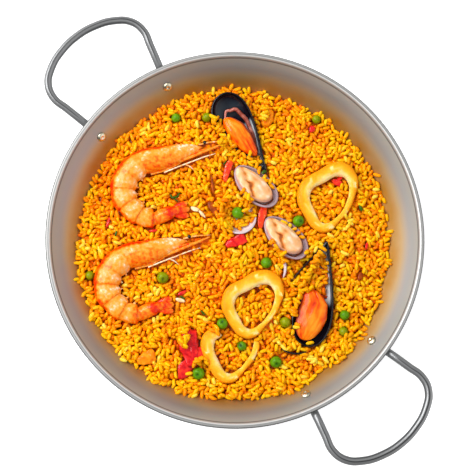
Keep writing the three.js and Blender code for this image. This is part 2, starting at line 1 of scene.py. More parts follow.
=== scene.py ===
"""A seafood paella in its two-handled steel pan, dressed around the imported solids."""

import math
import random
from contextlib import contextmanager
from itertools import pairwise
from math import cos, pi, radians, sin, tan

import bpy
import numpy as np
from bpy.props import FloatProperty, FloatVectorProperty, IntProperty
from mathutils import Euler, Matrix, Vector, noise
from mathutils.bvhtree import BVHTree


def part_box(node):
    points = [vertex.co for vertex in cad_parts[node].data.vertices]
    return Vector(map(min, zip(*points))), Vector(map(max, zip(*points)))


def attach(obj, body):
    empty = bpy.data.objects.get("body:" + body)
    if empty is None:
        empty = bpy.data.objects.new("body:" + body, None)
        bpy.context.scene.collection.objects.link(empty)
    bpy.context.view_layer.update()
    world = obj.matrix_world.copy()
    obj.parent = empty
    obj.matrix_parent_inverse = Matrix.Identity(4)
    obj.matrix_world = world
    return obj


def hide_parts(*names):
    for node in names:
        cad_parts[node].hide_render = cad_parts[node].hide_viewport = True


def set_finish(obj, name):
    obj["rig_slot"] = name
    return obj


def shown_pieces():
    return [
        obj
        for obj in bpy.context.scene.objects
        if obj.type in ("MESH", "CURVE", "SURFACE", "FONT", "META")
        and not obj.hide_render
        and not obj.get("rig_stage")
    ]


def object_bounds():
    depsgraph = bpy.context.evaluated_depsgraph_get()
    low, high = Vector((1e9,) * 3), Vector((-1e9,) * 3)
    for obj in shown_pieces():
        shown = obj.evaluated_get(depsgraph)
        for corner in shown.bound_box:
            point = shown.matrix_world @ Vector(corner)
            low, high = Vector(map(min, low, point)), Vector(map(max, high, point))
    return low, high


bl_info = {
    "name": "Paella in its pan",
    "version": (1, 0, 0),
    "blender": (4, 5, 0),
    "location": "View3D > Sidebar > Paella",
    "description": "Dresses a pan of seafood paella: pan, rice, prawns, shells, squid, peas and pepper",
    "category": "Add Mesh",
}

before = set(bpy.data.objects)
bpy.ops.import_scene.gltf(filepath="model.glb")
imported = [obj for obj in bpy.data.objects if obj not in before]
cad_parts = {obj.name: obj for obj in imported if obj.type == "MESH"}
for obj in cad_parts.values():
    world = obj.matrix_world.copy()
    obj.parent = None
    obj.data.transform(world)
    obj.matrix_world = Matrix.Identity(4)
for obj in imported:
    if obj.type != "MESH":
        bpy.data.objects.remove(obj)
cad_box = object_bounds()

# Pieces are modelled in millimetres and then settled into the frame, which is in metres. Those that
# lie in the pan are laid out about its middle, and the whole serving is turned against the handles.
MM = 0.001
SERVING_TURN = radians(51.5)
IN_FRAME = Matrix.Scale(MM, 4)
IN_SERVING = Matrix.Rotation(SERVING_TURN, 4, "Z") @ IN_FRAME


def hex_colour(code):
    """Linear red, green, blue and alpha of an sRGB hex code."""
    parts = [int(code[i:i + 2], 16) / 255 for i in (1, 3, 5)]
    return tuple(c / 12.92 if c < 0.04045 else ((c + 0.055) / 1.055) ** 2.4 for c in parts) + (1.0,)


def length(label, about, default_mm, **more):
    return FloatProperty(name=label, description=about, default=default_mm * MM, unit="LENGTH", **more)


def colour(label, about, code):
    return FloatVectorProperty(
        name=label, description=about, default=hex_colour(code), size=4, subtype="COLOR", min=0, max=1)


# ---------------------------------------------------------------- sizes and colours to change

class PanSettings(bpy.types.PropertyGroup):
    rim_radius: FloatProperty(
        name="Rim radius", description="Pan's radius over its rolled rim",
        default=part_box("pan")[1].y, unit="LENGTH")
    height: FloatProperty(
        name="Height", description="Pan's height to the top of its rim",
        default=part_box("pan")[1].z, unit="LENGTH")
    sheet: length("Sheet", "Thickness of the steel", 1.4)
    bead: length("Rim bead", "Radius of the rolled rim", 2.0)
    floor_radius: length("Floor radius", "Where floor and wall would meet in a sharp corner", 104.2)
    corner_radius: length("Corner radius", "Rounding between floor and wall", 12.0)
    wall_lean: FloatProperty(
        name="Wall lean", description="Lean of the wall from upright",
        default=radians(40), subtype="ANGLE")
    wire: length("Handle wire", "Radius of the handles' rod", 3.0)
    rivet_height: length("Rivet height", "Height of the rivets on the wall", 28.5)
    rivet_angle: FloatProperty(
        name="Rivet angle", description="Angle of a rivet from its handle's axis",
        default=radians(14.4), subtype="ANGLE")
    steel: colour("Steel", "Spun steel of the pan", "#a1a4a7")
    wire_steel: colour("Wire", "Drawn wire of the handles", "#88898a")


class RiceSettings(bpy.types.PropertyGroup):
    crown: length("Crown", "Height of the rice in the middle of the pan", 21.6)
    fall: length("Fall", "How much lower the rice lies at the wall", 3.2)
    lean: length("Lean", "How much higher the rice lies towards the lower left", 1.5)
    grain_length: length("Grain length", "Length of a cooked grain", 6.6)
    grain_width: length("Grain width", "Width of a cooked grain", 3.1)
    bed: length("Bed", "Depth of the loose grains over the core", 4.8)
    seed: IntProperty(
        name="Seed", description="Seed of every random draw in the rice", default=7, min=0)
    golden: colour("Golden", "Most of the grains", "#ffb000")
    orange: colour("Orange", "Grains stained by the stock", "#fc9200")
    stock: colour("Stock", "Thick stock between the grains", "#d86400")


class ToppingSettings(bpy.types.PropertyGroup):
    prawn: colour("Prawn", "Cooked prawn shell", "#ff8c10")
    squid: colour("Squid", "Cooked squid", "#ffc43c")
    mussel_meat: colour("Mussel meat", "Cooked mussel meat", "#fb7600")
    clam_meat: colour("Clam meat", "Cooked clam meat", "#f8b878")
    pea: colour("Pea", "Green peas", "#5c9408")
    pepper: colour("Pepper", "Red pepper", "#fa4c08")


class StageSettings(bpy.types.PropertyGroup):
    distance: length("Distance", "Camera's distance from the middle of the rim", 720.0)
    tilt: FloatProperty(
        name="Tilt", description="Camera's lean from straight above",
        default=radians(7), subtype="ANGLE")
    bearing: FloatProperty(
        name="Bearing", description="Which way it leans, in the serving's layout",
        default=radians(-105.6), subtype="ANGLE")
    lens: FloatProperty(name="Lens", description="Focal length in millimetres", default=74.09)


# ---------------------------------------------------------------- modelling helpers

def select_only(obj):
    bpy.ops.object.select_all(action="DESELECT")
    obj.select_set(True)
    bpy.context.view_layer.objects.active = obj


def new_object(add, **settings):
    """An object as an operator adds it, with all else deselected."""
    bpy.ops.object.select_all(action="DESELECT")
    add(**settings)
    return bpy.context.object


@contextmanager
def editing(obj):
    """Edit mode with a whole mesh selected."""
    select_only(obj)
    bpy.ops.object.mode_set(mode="EDIT")
    bpy.ops.mesh.select_mode(type="FACE")
    bpy.ops.mesh.select_all(action="SELECT")
    yield
    bpy.ops.object.mode_set(mode="OBJECT")


def modify(obj, kind, **settings):
    """Adds a modifier and applies it."""
    select_only(obj)
    bpy.ops.object.modifier_add(type=kind)
    modifier = obj.modifiers[-1]
    for name, value in settings.items():
        setattr(modifier, name, value)
    bpy.ops.object.modifier_apply(modifier=modifier.name)


def smooth(obj, levels):
    modify(obj, "SUBSURF", levels=levels, render_levels=levels)


def reshape(obj, rule):
    """Pushes each vertex to where a rule takes it, as a sculptor would."""
    for vertex in obj.data.vertices:
        vertex.co = rule(vertex.co.copy())
    obj.data.update()


def mark(obj, name, rule, of="co"):
    """Stores a number on each vertex, from its place or its normal, for a material to read by name."""
    layer = obj.data.attributes.new(name, "FLOAT", "POINT")
    layer.data.foreach_set("value", [rule(getattr(vertex, of)) for vertex in obj.data.vertices])


def clamp(value):
    return max(0.0, min(1.0, value))


def join(first, *others):
    bpy.ops.object.select_all(action="DESELECT")
    for obj in (first, *others):
        obj.select_set(True)
    bpy.context.view_layer.objects.active = first
    bpy.ops.object.join()
    return first


def turned(section, steps):
    """A closed body: a section of (radius, height) points spun round the Z axis."""
    obj = new_object(bpy.ops.mesh.primitive_plane_add, size=1)
    bpy.ops.object.mode_set(mode="EDIT")
    bpy.ops.mesh.select_mode(type="VERT")
    bpy.ops.mesh.select_all(action="SELECT")
    bpy.ops.mesh.merge(type="CENTER")
    bpy.ops.transform.translate(value=(section[0][0], 0, section[0][1]))
    for (r, z), (next_r, next_z) in pairwise(section):
        bpy.ops.mesh.extrude_region_move(TRANSFORM_OT_translate={"value": (next_r - r, 0, next_z - z)})
    bpy.ops.mesh.select_all(action="SELECT")
    bpy.ops.mesh.spin(steps=steps, angle=2 * pi, center=(0, 0, 0), axis=(0, 0, 1))
    bpy.ops.mesh.select_all(action="SELECT")
    bpy.ops.mesh.remove_doubles(threshold=1e-3)
    bpy.ops.mesh.normals_make_consistent(inside=False)
    bpy.ops.object.mode_set(mode="OBJECT")
    return obj


def lofted(stations, sides):
    """A closed round body along +X through stations of (x, half width, half height)."""
    obj = new_object(bpy.ops.mesh.primitive_circle_add, vertices=sides, radius=1, fill_type="NGON",
                     rotation=(0, pi / 2, 0))
    bpy.ops.object.transform_apply(location=True, rotation=True, scale=True)
    start, width, height = stations[0]
    with editing(obj):
        bpy.ops.transform.resize(value=(1, width, height), center_override=(0, 0, 0))
        bpy.ops.transform.translate(value=(start, 0, 0))
        for (x, w, h), (next_x, next_w, next_h) in pairwise(stations):
            bpy.ops.mesh.extrude_region_move(TRANSFORM_OT_translate={"value": (next_x - x, 0, 0)})
            bpy.ops.transform.resize(
                value=(1, next_w / w, next_h / h), center_override=(next_x, 0, 0))
        bpy.ops.mesh.select_all(action="SELECT")
        bpy.ops.mesh.normals_make_consistent(inside=False)
    return obj


def path(points, closed=False, radii=None):
    """A smooth curve object through points."""
    obj = new_object(bpy.ops.curve.primitive_bezier_curve_add)
    obj.data.twist_mode = "Z_UP"
    obj.data.resolution_u = 10
    spline = obj.data.splines[0]
    spline.bezier_points.add(len(points) - 2)
    spline.use_cyclic_u = closed
    for i, (knot, point) in enumerate(zip(spline.bezier_points, points)):
        knot.co = Vector(point).to_3d()
        knot.handle_left_type = knot.handle_right_type = "AUTO"
        knot.radius = radii[i] if radii else 1
    return obj


def rod(points, radius, sides, radii=None, closed=False):
    """A rod of round section along a smooth curve, with 4 times (sides + 1) faces round it."""
    obj = path(points, closed, radii)
    obj.data.bevel_depth = radius
    obj.data.bevel_resolution = sides
    obj.data.use_fill_caps = True
    select_only(obj)
    bpy.ops.object.convert(target="MESH")
    return bpy.context.object


def bend(obj, route):
    """Lays a body that runs along +X onto a route."""
    guide = path(route)
    guide.data.resolution_u = 24
    modify(obj, "CURVE", object=guide, deform_axis="POS_X")
    bpy.data.objects.remove(guide)


def ball(radius, segments, rings):
    return new_object(bpy.ops.mesh.primitive_uv_sphere_add, segments=segments, ring_count=rings,
                      radius=radius)


def wobble(point, size, seed):
    """Smooth noise from about -1 to 1 at a point, with lumps of a size."""
    return noise.noise(point / size + Vector((seed * 7.1, seed * 3.7, seed * 1.3)))


def pose(x, y, z, turn=0.0, roll=0.0, pitch=0.0):
    """Where a piece lies: rolled about X, pitched about Y and then turned about Z."""
    tilt = Euler((radians(roll), radians(pitch), 0)).to_matrix().to_4x4()
    return Matrix.Translation((x, y, z)) @ Matrix.Rotation(radians(turn), 4, "Z") @ tilt


def settle(obj, space, place=Matrix.Identity(4)):
    """Takes a piece from its own millimetres to its place in the frame, in its mesh."""
    select_only(obj)
    obj.matrix_world = space @ place @ obj.matrix_basis
    bpy.ops.object.transform_apply(location=True, rotation=True, scale=True)


def hand_over(obj, name, slot, materials, *nodes, sharp=None):
    """Names and finishes a settled piece and gives it to the frame."""
    obj.name = name
    obj.data.name = name
    select_only(obj)
    if sharp is None:
        bpy.ops.object.shade_smooth()
    else:
        bpy.ops.object.shade_smooth_by_angle(angle=radians(sharp))
    for material in materials:
        if material.name not in obj.data.materials:
            obj.data.materials.append(material)
    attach(obj, "root")
    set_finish(obj, slot)
    if nodes:
        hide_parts(*nodes)
    return obj


# ---------------------------------------------------------------- materials

def add_node(tree, kind, settings=None, values=None, links=None, stops=()):
    """Adds a shader node with its settings, its input values, its links and its ramp's stops."""
    node = tree.nodes.new("ShaderNode" + kind)
    for name, value in (settings or {}).items():
        setattr(node, name, value)
    for name, value in (values or {}).items():
        node.inputs[name].default_value = value
    for name, source in (links or {}).items():
        tree.links.new(source, node.inputs[name])
    for i, (at, shade) in enumerate(stops):
        stop = node.color_ramp.elements[i] if i < 2 else node.color_ramp.elements.new(at)
        stop.position = at
        stop.color = hex_colour(shade) if isinstance(shade, str) else shade
    return node


def new_material(name, values):
    """A material with values on its shader's sockets; returns the material, its nodes and the shader."""
    material = bpy.data.materials.new(name)
    material.use_nodes = True
    tree = material.node_tree
    shader = tree.nodes["Principled BSDF"]
    for socket, value in values.items():
        shader.inputs[socket].default_value = value
    return material, tree, shader


def per(size_mm):
    """Texture scale at which one feature is a size in millimetres."""
    return 1 / (size_mm * MM)


# Where the pan's finish, its painted shade and its painted highlights change, in metres: heights on the
# wall, and radii across the rim's bead.
STAIN_AND_SHADE_HEIGHTS = {"From Min": 0.020, "From Max": 0.035}
HAZE_HEIGHTS = {"From Min": 0.032, "From Max": 0.038}
BEAD_HEIGHTS = {"From Min": 0.0384, "From Max": 0.0390}
BEAD_RADII = {"From Min": 0.1355, "From Max": 0.1400}
SPUN_LINE, CLOUD, STAIN = 1.2, 30, 18       # sizes of the steel's lines and patches, in millimetres


def spun_steel(steel):
    """Spun and scoured stainless steel: satin, faint rings, a dull haze near the rim, a tide line that is
    also painted shade and reflection, and painted light across the rim.
    """
    material, tree, shader = new_material(
        "spun_stainless_steel_satin", {"Anisotropic": 0.5, "Anisotropic Rotation": 0.25})
    place = add_node(tree, "TexCoord").outputs["Object"]
    parts = add_node(tree, "SeparateXYZ", links={"Vector": place})
    flat = add_node(tree, "CombineXYZ", links={"X": parts.outputs["X"], "Y": parts.outputs["Y"]})
    out = add_node(tree, "VectorMath", {"operation": "LENGTH"}, links={0: flat.outputs["Vector"]})
    # Lines left by the tool that pressed the spinning sheet, one each 1.2 mm, coarser than the real
    # ones so that they show as faint rings.
    lines = add_node(tree, "TexNoise", {"noise_dimensions": "1D"},
                     {"Scale": per(SPUN_LINE), "Detail": 2.0}, {"W": out.outputs["Value"]})
    # Cloudy wear, 30 mm across, as on a pan that has been scoured by hand.
    cloud = add_node(tree, "TexNoise", values={"Scale": per(CLOUD), "Detail": 3.0},
                     links={"Vector": place})
    rough = add_node(tree, "MapRange", values={"To Min": 0.42, "To Max": 0.52},
                     links={"Value": cloud.outputs["Fac"]})
    # Oil and stock dried on the wall just above the rice, in an uneven tide line. Its warm, darker tint
    # there is also painted shade and a painted reflection of the rice.
    stain = add_node(tree, "TexNoise", values={"Scale": per(STAIN), "Detail": 2.0},
                     links={"Vector": place})
    tide = add_node(tree, "MapRange", values={"To Min": 0.36, "To Max": 0.64},
                    links={"Value": stain.outputs["Fac"]})
    height = add_node(tree, "MapRange", {"interpolation_type": "SMOOTHSTEP"},
                      {**STAIN_AND_SHADE_HEIGHTS, "To Min": 1.75, "To Max": 0.0},
                      {"Value": parts.outputs["Z"]})
    stain_and_shade = add_node(tree, "Math", {"operation": "MULTIPLY", "use_clamp": True},
                    links={0: height.outputs["Result"], 1: tide.outputs["Result"]})
    inner = add_node(tree, "Attribute", {"attribute_name": "inside"})
    wet = add_node(tree, "Math", {"operation": "MULTIPLY"}, links={0: stain_and_shade.outputs["Value"],
                                                                 1: inner.outputs["Fac"]})
    tint = add_node(tree, "ValToRGB", links={"Fac": wet.outputs["Value"]},
                    stops=[(0.0, steel), (0.5, "#b89e74"), (1.0, "#b07c1c")])
    upper = add_node(tree, "MapRange", values={**HAZE_HEIGHTS, "To Max": 0.75},
                     links={"Value": parts.outputs["Z"]})
    # Scouring leaves a dull haze over the bright metal, and most of it where hands reach, near the rim.
    haze = add_node(tree, "MapRange", values={"To Min": 0.7, "To Max": 0.25},
                    links={"Value": upper.outputs["Result"]})
    tree.links.new(haze.outputs["Result"], shader.inputs["Metallic"])
    wall = add_node(tree, "Mix", {"data_type": "RGBA"}, {7: hex_colour("#aeb0a8")},
                    {0: upper.outputs["Result"], 6: tint.outputs["Color"]})
    # Painted light across the rolled rim, from its inner crease outwards: painted shade in the crease, a
    # pale painted highlight, a darker line, and the pale round of the bead with painted shade on its far
    # side.
    crease = add_node(tree, "MapRange", values=BEAD_RADII, links={"Value": out.outputs["Value"]})
    bead = add_node(tree, "ValToRGB", links={"Fac": crease.outputs["Result"]},
                    stops=[(0.0, "#646462"), (0.2, "#c6c6c4"), (0.36, "#e2e2e0"), (0.46, "#858584"),
                           (0.72, "#b4b4b2"), (0.88, "#3e3e3e")])
    on_rim = add_node(tree, "MapRange", values=BEAD_HEIGHTS, links={"Value": parts.outputs["Z"]})
    skin = add_node(tree, "Mix", {"data_type": "RGBA"},
                    links={0: on_rim.outputs["Result"], 6: wall.outputs[2], 7: bead.outputs["Color"]})
    bump = add_node(tree, "Bump", values={"Strength": 0.04, "Distance": 0.0004},
                    links={"Height": lines.outputs["Fac"]})
    grain = add_node(tree, "Tangent", {"direction_type": "RADIAL", "axis": "Z"})
    tree.links.new(skin.outputs[2], shader.inputs["Base Color"])
    tree.links.new(rough.outputs["Result"], shader.inputs["Roughness"])
    tree.links.new(bump.outputs["Normal"], shader.inputs["Normal"])
    tree.links.new(grain.outputs["Tangent"], shader.inputs["Tangent"])
    return material


def drawn_wire(steel):
    """Drawn steel wire, with wear in patches 6 mm long that vary its roughness.

    Its colour is painted reflection: darker lines along its top and its sides, with a lighter band
    between, are set by how far up each part faces. They stand in for what a polished wire mirrors of a
    room.
    """
    material, tree, shader = new_material("drawn_steel_wire_polished", {"Metallic": 0.55})
    place = add_node(tree, "TexCoord").outputs["Object"]
    rubbed = add_node(tree, "TexNoise", values={"Scale": per(6), "Detail": 3.0}, links={"Vector": place})
    rough = add_node(tree, "MapRange", values={"To Min": 0.26, "To Max": 0.36},
                     links={"Value": rubbed.outputs["Fac"]})
    above = add_node(tree, "Attribute", {"attribute_name": "upward"})
    painted_reflection = add_node(tree, "ValToRGB", links={"Fac": above.outputs["Fac"]},
                      stops=[(0.15, "#767778"), (0.5, "#464748"), (0.8, steel), (0.92, steel),
                             (0.99, "#2e2f30")])
    tree.links.new(painted_reflection.outputs["Color"], shader.inputs["Base Color"])
    tree.links.new(rough.outputs["Result"], shader.inputs["Roughness"])
    return material


def rivet_metal():
    """Solid aluminium, tumbled: pale and warm, softly glossy, with 2 mm scuffs."""
    material, tree, shader = new_material(
        "tumbled_aluminium_rivet", {"Metallic": 1.0, "Base Color": hex_colour("#e2d8bd")})
    place = add_node(tree, "TexCoord").outputs["Object"]
    scuffs = add_node(tree, "TexNoise", values={"Scale": per(2), "Detail": 2.0}, links={"Vector": place})
    rough = add_node(tree, "MapRange", values={"To Min": 0.2, "To Max": 0.4},
                     links={"Value": scuffs.outputs["Fac"]})
    tree.links.new(rough.outputs["Result"], shader.inputs["Roughness"])
    return material


# Food that is mostly water has a low IOR, and a smooth film of oil lies over it.
MOIST = {"Coat Roughness": 0.08, "IOR": 1.36, "Specular IOR Level": 0.16}
# Light goes about 2 mm into flesh and rice, and its red goes deepest.
FLESH_GLOW = {"Subsurface Radius": (1.0, 0.45, 0.15), "Subsurface Scale": 0.002}


def moist_food(name, stops, attribute=None, spot_mm=3.0, spread=0.5, rough=0.35, coat=0.4, bump_mm=0.0,
               soft=0.0, edge=None):
    """Cooked food: a colour ramp driven by a vertex attribute and by blotches, under a wet film.

    An edge is a second attribute and the colour that it mixes in.
    """
    values = {"Roughness": rough, "Coat Weight": coat, **MOIST}
    if soft:
        values.update({"Subsurface Weight": soft, **FLESH_GLOW})
    material, tree, shader = new_material(name, values)
    place = add_node(tree, "TexCoord").outputs["Object"]
    blotch = add_node(tree, "TexNoise", values={"Scale": per(spot_mm), "Detail": 3.0},
                      links={"Vector": place})
    source = add_node(tree, "MapRange", {"clamp": False},
                      {"To Min": -spread / 2, "To Max": spread / 2}, {"Value": blotch.outputs["Fac"]})
    base = add_node(tree, "Attribute", {"attribute_name": attribute}) if attribute else None
    level = add_node(tree, "Math", {"operation": "ADD", "use_clamp": True}, {0: 0.5},
                     {1: source.outputs["Result"]})
    if base:
        tree.links.new(base.outputs["Fac"], level.inputs[0])
    ramp = add_node(tree, "ValToRGB", links={"Fac": level.outputs["Value"]}, stops=stops)
    tone = ramp.outputs["Color"]
    if edge:
        share = add_node(tree, "Attribute", {"attribute_name": edge[0]}).outputs["Fac"]
        mixed = add_node(tree, "Mix", {"data_type": "RGBA"}, {7: edge[1]}, {0: share, 6: tone})
        tone = mixed.outputs[2]
    tree.links.new(tone, shader.inputs["Base Color"])
    if bump_mm:
        bump = add_node(tree, "Bump", values={"Strength": 0.5, "Distance": bump_mm * MM},
                        links={"Height": blotch.outputs["Fac"]})
        tree.links.new(bump.outputs["Normal"], shader.inputs["Normal"])
    return material


# ---------------------------------------------------------------- the pan

def wall_radius(z):
    """Radius of the pan's inner wall at a height, in millimetres."""
    pan = bpy.context.scene.paella_pan
    return (pan.floor_radius + (z * MM - pan.sheet) * tan(pan.wall_lean)) / MM


def arc(r, z, radius, start, end, steps):
    turns = [radians(start + (end - start) * i / steps) for i in range(steps + 1)]
    return [(r + radius * cos(a), z + radius * sin(a)) for a in turns]


def bowl_section(top, inwards, steps):
    """Section of the pan's inner surface from the axis to a height, moved inwards."""
    pan = bpy.context.scene.paella_pan
    sheet, rounding, lean = pan.sheet / MM, pan.corner_radius / MM, pan.wall_lean
    turn = 90 - math.degrees(lean)
    middle = pan.floor_radius / MM - rounding * tan(radians(turn / 2))
    corner = arc(middle, sheet + rounding, rounding - inwards, -90, turn - 90, steps)
    return [(0, sheet + inwards), *corner, (wall_radius(top) - inwards / cos(lean), top)]


def densified(section, step):
    """The same section with long straight runs cut into equal lengths."""
    points = [section[0]]
    for (r, z), (next_r, next_z) in pairwise(section):
        cuts = max(1, round(math.hypot(next_r - r, next_z - z) / step))
        points += [(r + (next_r - r) * i / cuts, z + (next_z - z) * i / cuts)
                   for i in range(1, cuts + 1)]
    return points


BEAD_TURN = (-45, 165)                      # directions in which the bead starts and ends
PAN_STEPS, PAN_FACE = 160, 12               # steps round the pan, and about how long a face is up its wall


def build_pan():
    pan = bpy.context.scene.paella_pan
    bead, height = pan.bead / MM, pan.height / MM
    rim_r, rim_z = pan.rim_radius / MM - bead, height - bead
    top = rim_z - bead * 0.8
    outside = bowl_section(top, -pan.sheet / MM, 6)
    inside = bowl_section(top, 0, 6)[::-1]
    section = densified([*outside, *arc(rim_r, rim_z, bead, *BEAD_TURN, 14), *inside], PAN_FACE)
    obj = turned(section, PAN_STEPS)
    floor = pan.sheet / MM * 0.7
    mark(obj, "inside", lambda p: float(p.z > floor and math.hypot(p.x, p.y) < wall_radius(p.z) + 0.5))
    settle(obj, IN_FRAME)
    hand_over(obj, "pan_body", "pan_steel", [spun_steel(pan.steel)], "pan", sharp=50)


def rivet_place(angle):
    pan = bpy.context.scene.paella_pan
    z = pan.rivet_height / MM
    tip = Matrix.Rotation(pi / 2 + pan.wall_lean, 4, "Y")
    return Matrix.Rotation(angle, 4, "Z") @ Matrix.Translation((wall_radius(z), 0, z)) @ tip


RIVET_HEAD = [(0, 0.72), (0.16, 0.74), (0.3, 0.97), (0.46, 1.0), (0.68, 0.86), (0.88, 0.5), (1.0, 0.06)]
RIVET_TAIL = [(0.9, 0), (0.85, 0.5), (0.6, 1), (0, 1)]
RIVET_RADIUS, RIVET_RISE, RIVET_SHANK = 3.6, 1.3, 1.9
RIVET_IN, RIVET_OUT = -0.5, 0.3             # where head and tail start, from the wall and from the pad
PAD_INNER, PAD_OUTER = 1.75, 3.55           # faces of a handle's pad, outwards from the inner wall


def build_rivets():
    metal = rivet_metal()
    pan = bpy.context.scene.paella_pan
    angles = [middle + side * pan.rivet_angle for middle in (0, pi) for side in (-1, 1)]
    inside, outside = RIVET_IN, PAD_OUTER + RIVET_OUT
    for i, angle in enumerate(angles, 1):
        head = [(r * RIVET_RADIUS, inside - h * RIVET_RISE) for r, h in RIVET_HEAD]
        tail = [(r * RIVET_RADIUS, outside + h * RIVET_RISE) for r, h in RIVET_TAIL]
        section = [*head, (RIVET_RADIUS, inside), (RIVET_SHANK, inside), (RIVET_SHANK, outside), *tail]
        obj = turned(section, 28)
        settle(obj, IN_FRAME, rivet_place(angle))
        hand_over(obj, f"rivet_head_{i}", "rivet_metal", [metal], f"rivet_{i}", sharp=40)


HANDLE_REACH, HANDLE_GRIP, HANDLE_LIFT = 192.0, 42.2, 42.0
# The rod from a pad to the grip: shares of the reach, of the grip and of the lift.
HANDLE_LEG = [(0.735, 0.86, 0.855), (0.8, 0.935, 0.92), (0.86, 1, 0.96), (0.915, 0.93, 0.99),
              (0.96, 0.7, 1), (0.99, 0.36, 1)]
PAD_HALF, PAD_TIP, PAD_UP, PAD_EDGE = 5.2, 2.9, 10.0, 0.4
WELD_UP, WELD_OUT = 8.1, 3.3                # the rod's end, over the rivet and out from the pad's inside


def make_pad(place):
    """A strap riveted to the wall: a round end about the rivet and a narrow tip under the rod."""
    pad = new_object(bpy.ops.mesh.primitive_circle_add, vertices=32, radius=PAD_HALF, fill_type="NGON")

    def taper(p):
        if p.x < 0:
            share = -p.x / PAD_HALF
            p.x = -share * PAD_UP
            half = PAD_HALF - (PAD_HALF - PAD_TIP) * share
            p.y = math.copysign(half, p.y) if abs(p.y) > 1e-4 else 0
        return p

    reshape(pad, taper)
    with editing(pad):
        bpy.ops.mesh.extrude_region_move(
            TRANSFORM_OT_translate={"value": (0, 0, PAD_OUTER - PAD_INNER)})
        bpy.ops.mesh.select_all(action="SELECT")
        bpy.ops.mesh.normals_make_consistent(inside=False)
    modify(pad, "BEVEL", width=PAD_EDGE, segments=2)
    settle(pad, place, Matrix.Translation((0, 0, PAD_INNER)))
    return pad


def build_handles():
    pan = bpy.context.scene.paella_pan
    bright = drawn_wire(pan.wire_steel)
    size = Vector((HANDLE_REACH, HANDLE_GRIP, HANDLE_LIFT))
    half = [Vector(share) * size for share in HANDLE_LEG]
    mirror = [Vector((p.x, -p.y, p.z)) for p in reversed(half)]
    weld = Vector((-WELD_UP, 0, PAD_INNER + WELD_OUT))
    places = [rivet_place(side * pan.rivet_angle) for side in (1, -1)]
    ends = [place @ weld for place in places]
    for name, turn in (("right", 0), ("left", pi)):
        line = [ends[0], *half, (HANDLE_REACH, 0, HANDLE_LIFT), *mirror, ends[1]]
        wire = rod(line, pan.wire / MM, 4)
        obj = join(wire, *[make_pad(place) for place in places])
        settle(obj, IN_FRAME, Matrix.Rotation(turn, 4, "Z"))
        # How far up each part of the wire faces, which its material turns into painted reflection lines.
        mark(obj, "upward", lambda normal: clamp(normal.z), of="normal")
        hand_over(obj, f"handle_{name}_wire", "handle_wire", [bright], f"handle_{name}", sharp=40)


# ---------------------------------------------------------------- the rice

LEAN_ANGLE = radians(232)


def rice_edge():
    """Radius at which the rice meets the wall, in millimetres."""
    rice = bpy.context.scene.paella_rice
    return wall_radius((rice.crown - rice.fall) / MM)


def level_at(x, y, out):
    """Smooth height of the rice at a place, or at many, which lies so far out from the middle."""
    rice = bpy.context.scene.paella_rice
    edge = rice_edge()
    along = (x * cos(LEAN_ANGLE) + y * sin(LEAN_ANGLE)) / edge
    return (rice.crown - rice.fall * (out / edge) ** 2 + rice.lean * along) / MM


def rice_level(x, y):
    """Smooth height of the rice at a place in the serving, in millimetres."""
    return level_at(x, y, math.hypot(x, y))


CELL = 0.5                                  # of the grid of heights, in millimetres
REACH = 124.0                               # half the grid's width
GRID = int(2 * REACH / CELL)
SKY_HIGH = 60                               # a height over everything in the pan
YAWS, PITCHES = 36, (-42, -28, -16, -6, 4, 12, 22, 34, 46)
STANDS_ON = 0.92                            # how much of a grain's oval, by area, touches what is below


def cell_middle(i):
    """Where the middle of a cell, or of an array of them, lies along either side of the grid."""
    return (i + 0.5) * CELL - REACH


def surface_heights(objects):
    """Highest point of some settled pieces over each cell of the grid, from rays straight down."""
    back = IN_SERVING.inverted()
    heights = np.full((GRID, GRID), -1.0)
    for obj in objects:
        obj.data.calc_loop_triangles()
        points = [back @ vertex.co for vertex in obj.data.vertices]
        tree = BVHTree.FromPolygons(points, [t.vertices for t in obj.data.loop_triangles])
        low = [max(0, int((min(p[k] for p in points) + REACH) / CELL)) for k in (0, 1)]
        high = [min(GRID - 1, int((max(p[k] for p in points) + REACH) / CELL) + 1) for k in (0, 1)]
        for i in range(low[0], high[0] + 1):
            for j in range(low[1], high[1] + 1):
                spot = Vector((cell_middle(i), cell_middle(j), SKY_HIGH))
                hit = tree.ray_cast(spot, Vector((0, 0, -1)))[0]
                if hit is not None:
                    heights[i, j] = max(heights[i, j], hit.z)
    return heights


def grain_footprints(half_length, half_width):
    """For each yaw and pitch: the cells under a grain, and its lower and upper side over them."""
    reach = int(half_length / CELL) + 1
    steps = np.arange(-reach, reach + 1)
    dx, dy = np.meshgrid(steps, steps, indexing="ij")
    table = {}
    for k in range(YAWS):
        yaw = pi * k / YAWS
        along = (dx * cos(yaw) + dy * sin(yaw)) * CELL
        across = (-dx * sin(yaw) + dy * cos(yaw)) * CELL
        for pitch in PITCHES:
            short = half_length * cos(radians(pitch))
            inside = (along / short) ** 2 + (across / half_width) ** 2
            keep = inside < STANDS_ON
            middle = along[keep] * tan(radians(pitch))
            thick = half_width * np.sqrt(1 - inside[keep]) / cos(radians(pitch))
            table[k, pitch] = (dx[keep], dy[keep], middle - thick, middle + thick)
    return table


# ---------------------------------------------------------------- the stage

def at_bearing(degrees, elevation, distance):
    """A place round the pan, by a direction in the serving's layout."""
    a, e = radians(degrees) + SERVING_TURN, radians(elevation)
    return Vector((cos(a) * cos(e), sin(a) * cos(e), sin(e))) * distance


# Soft light from the room's sides: a direction in the serving's layout, its strength and how narrow it
# is. The last one takes light away, as a black screen does.
ROOM_LIGHT = ((165, 0.85, 3.0), (345, 1.6, 3.0), (292, -0.3, 1.5))
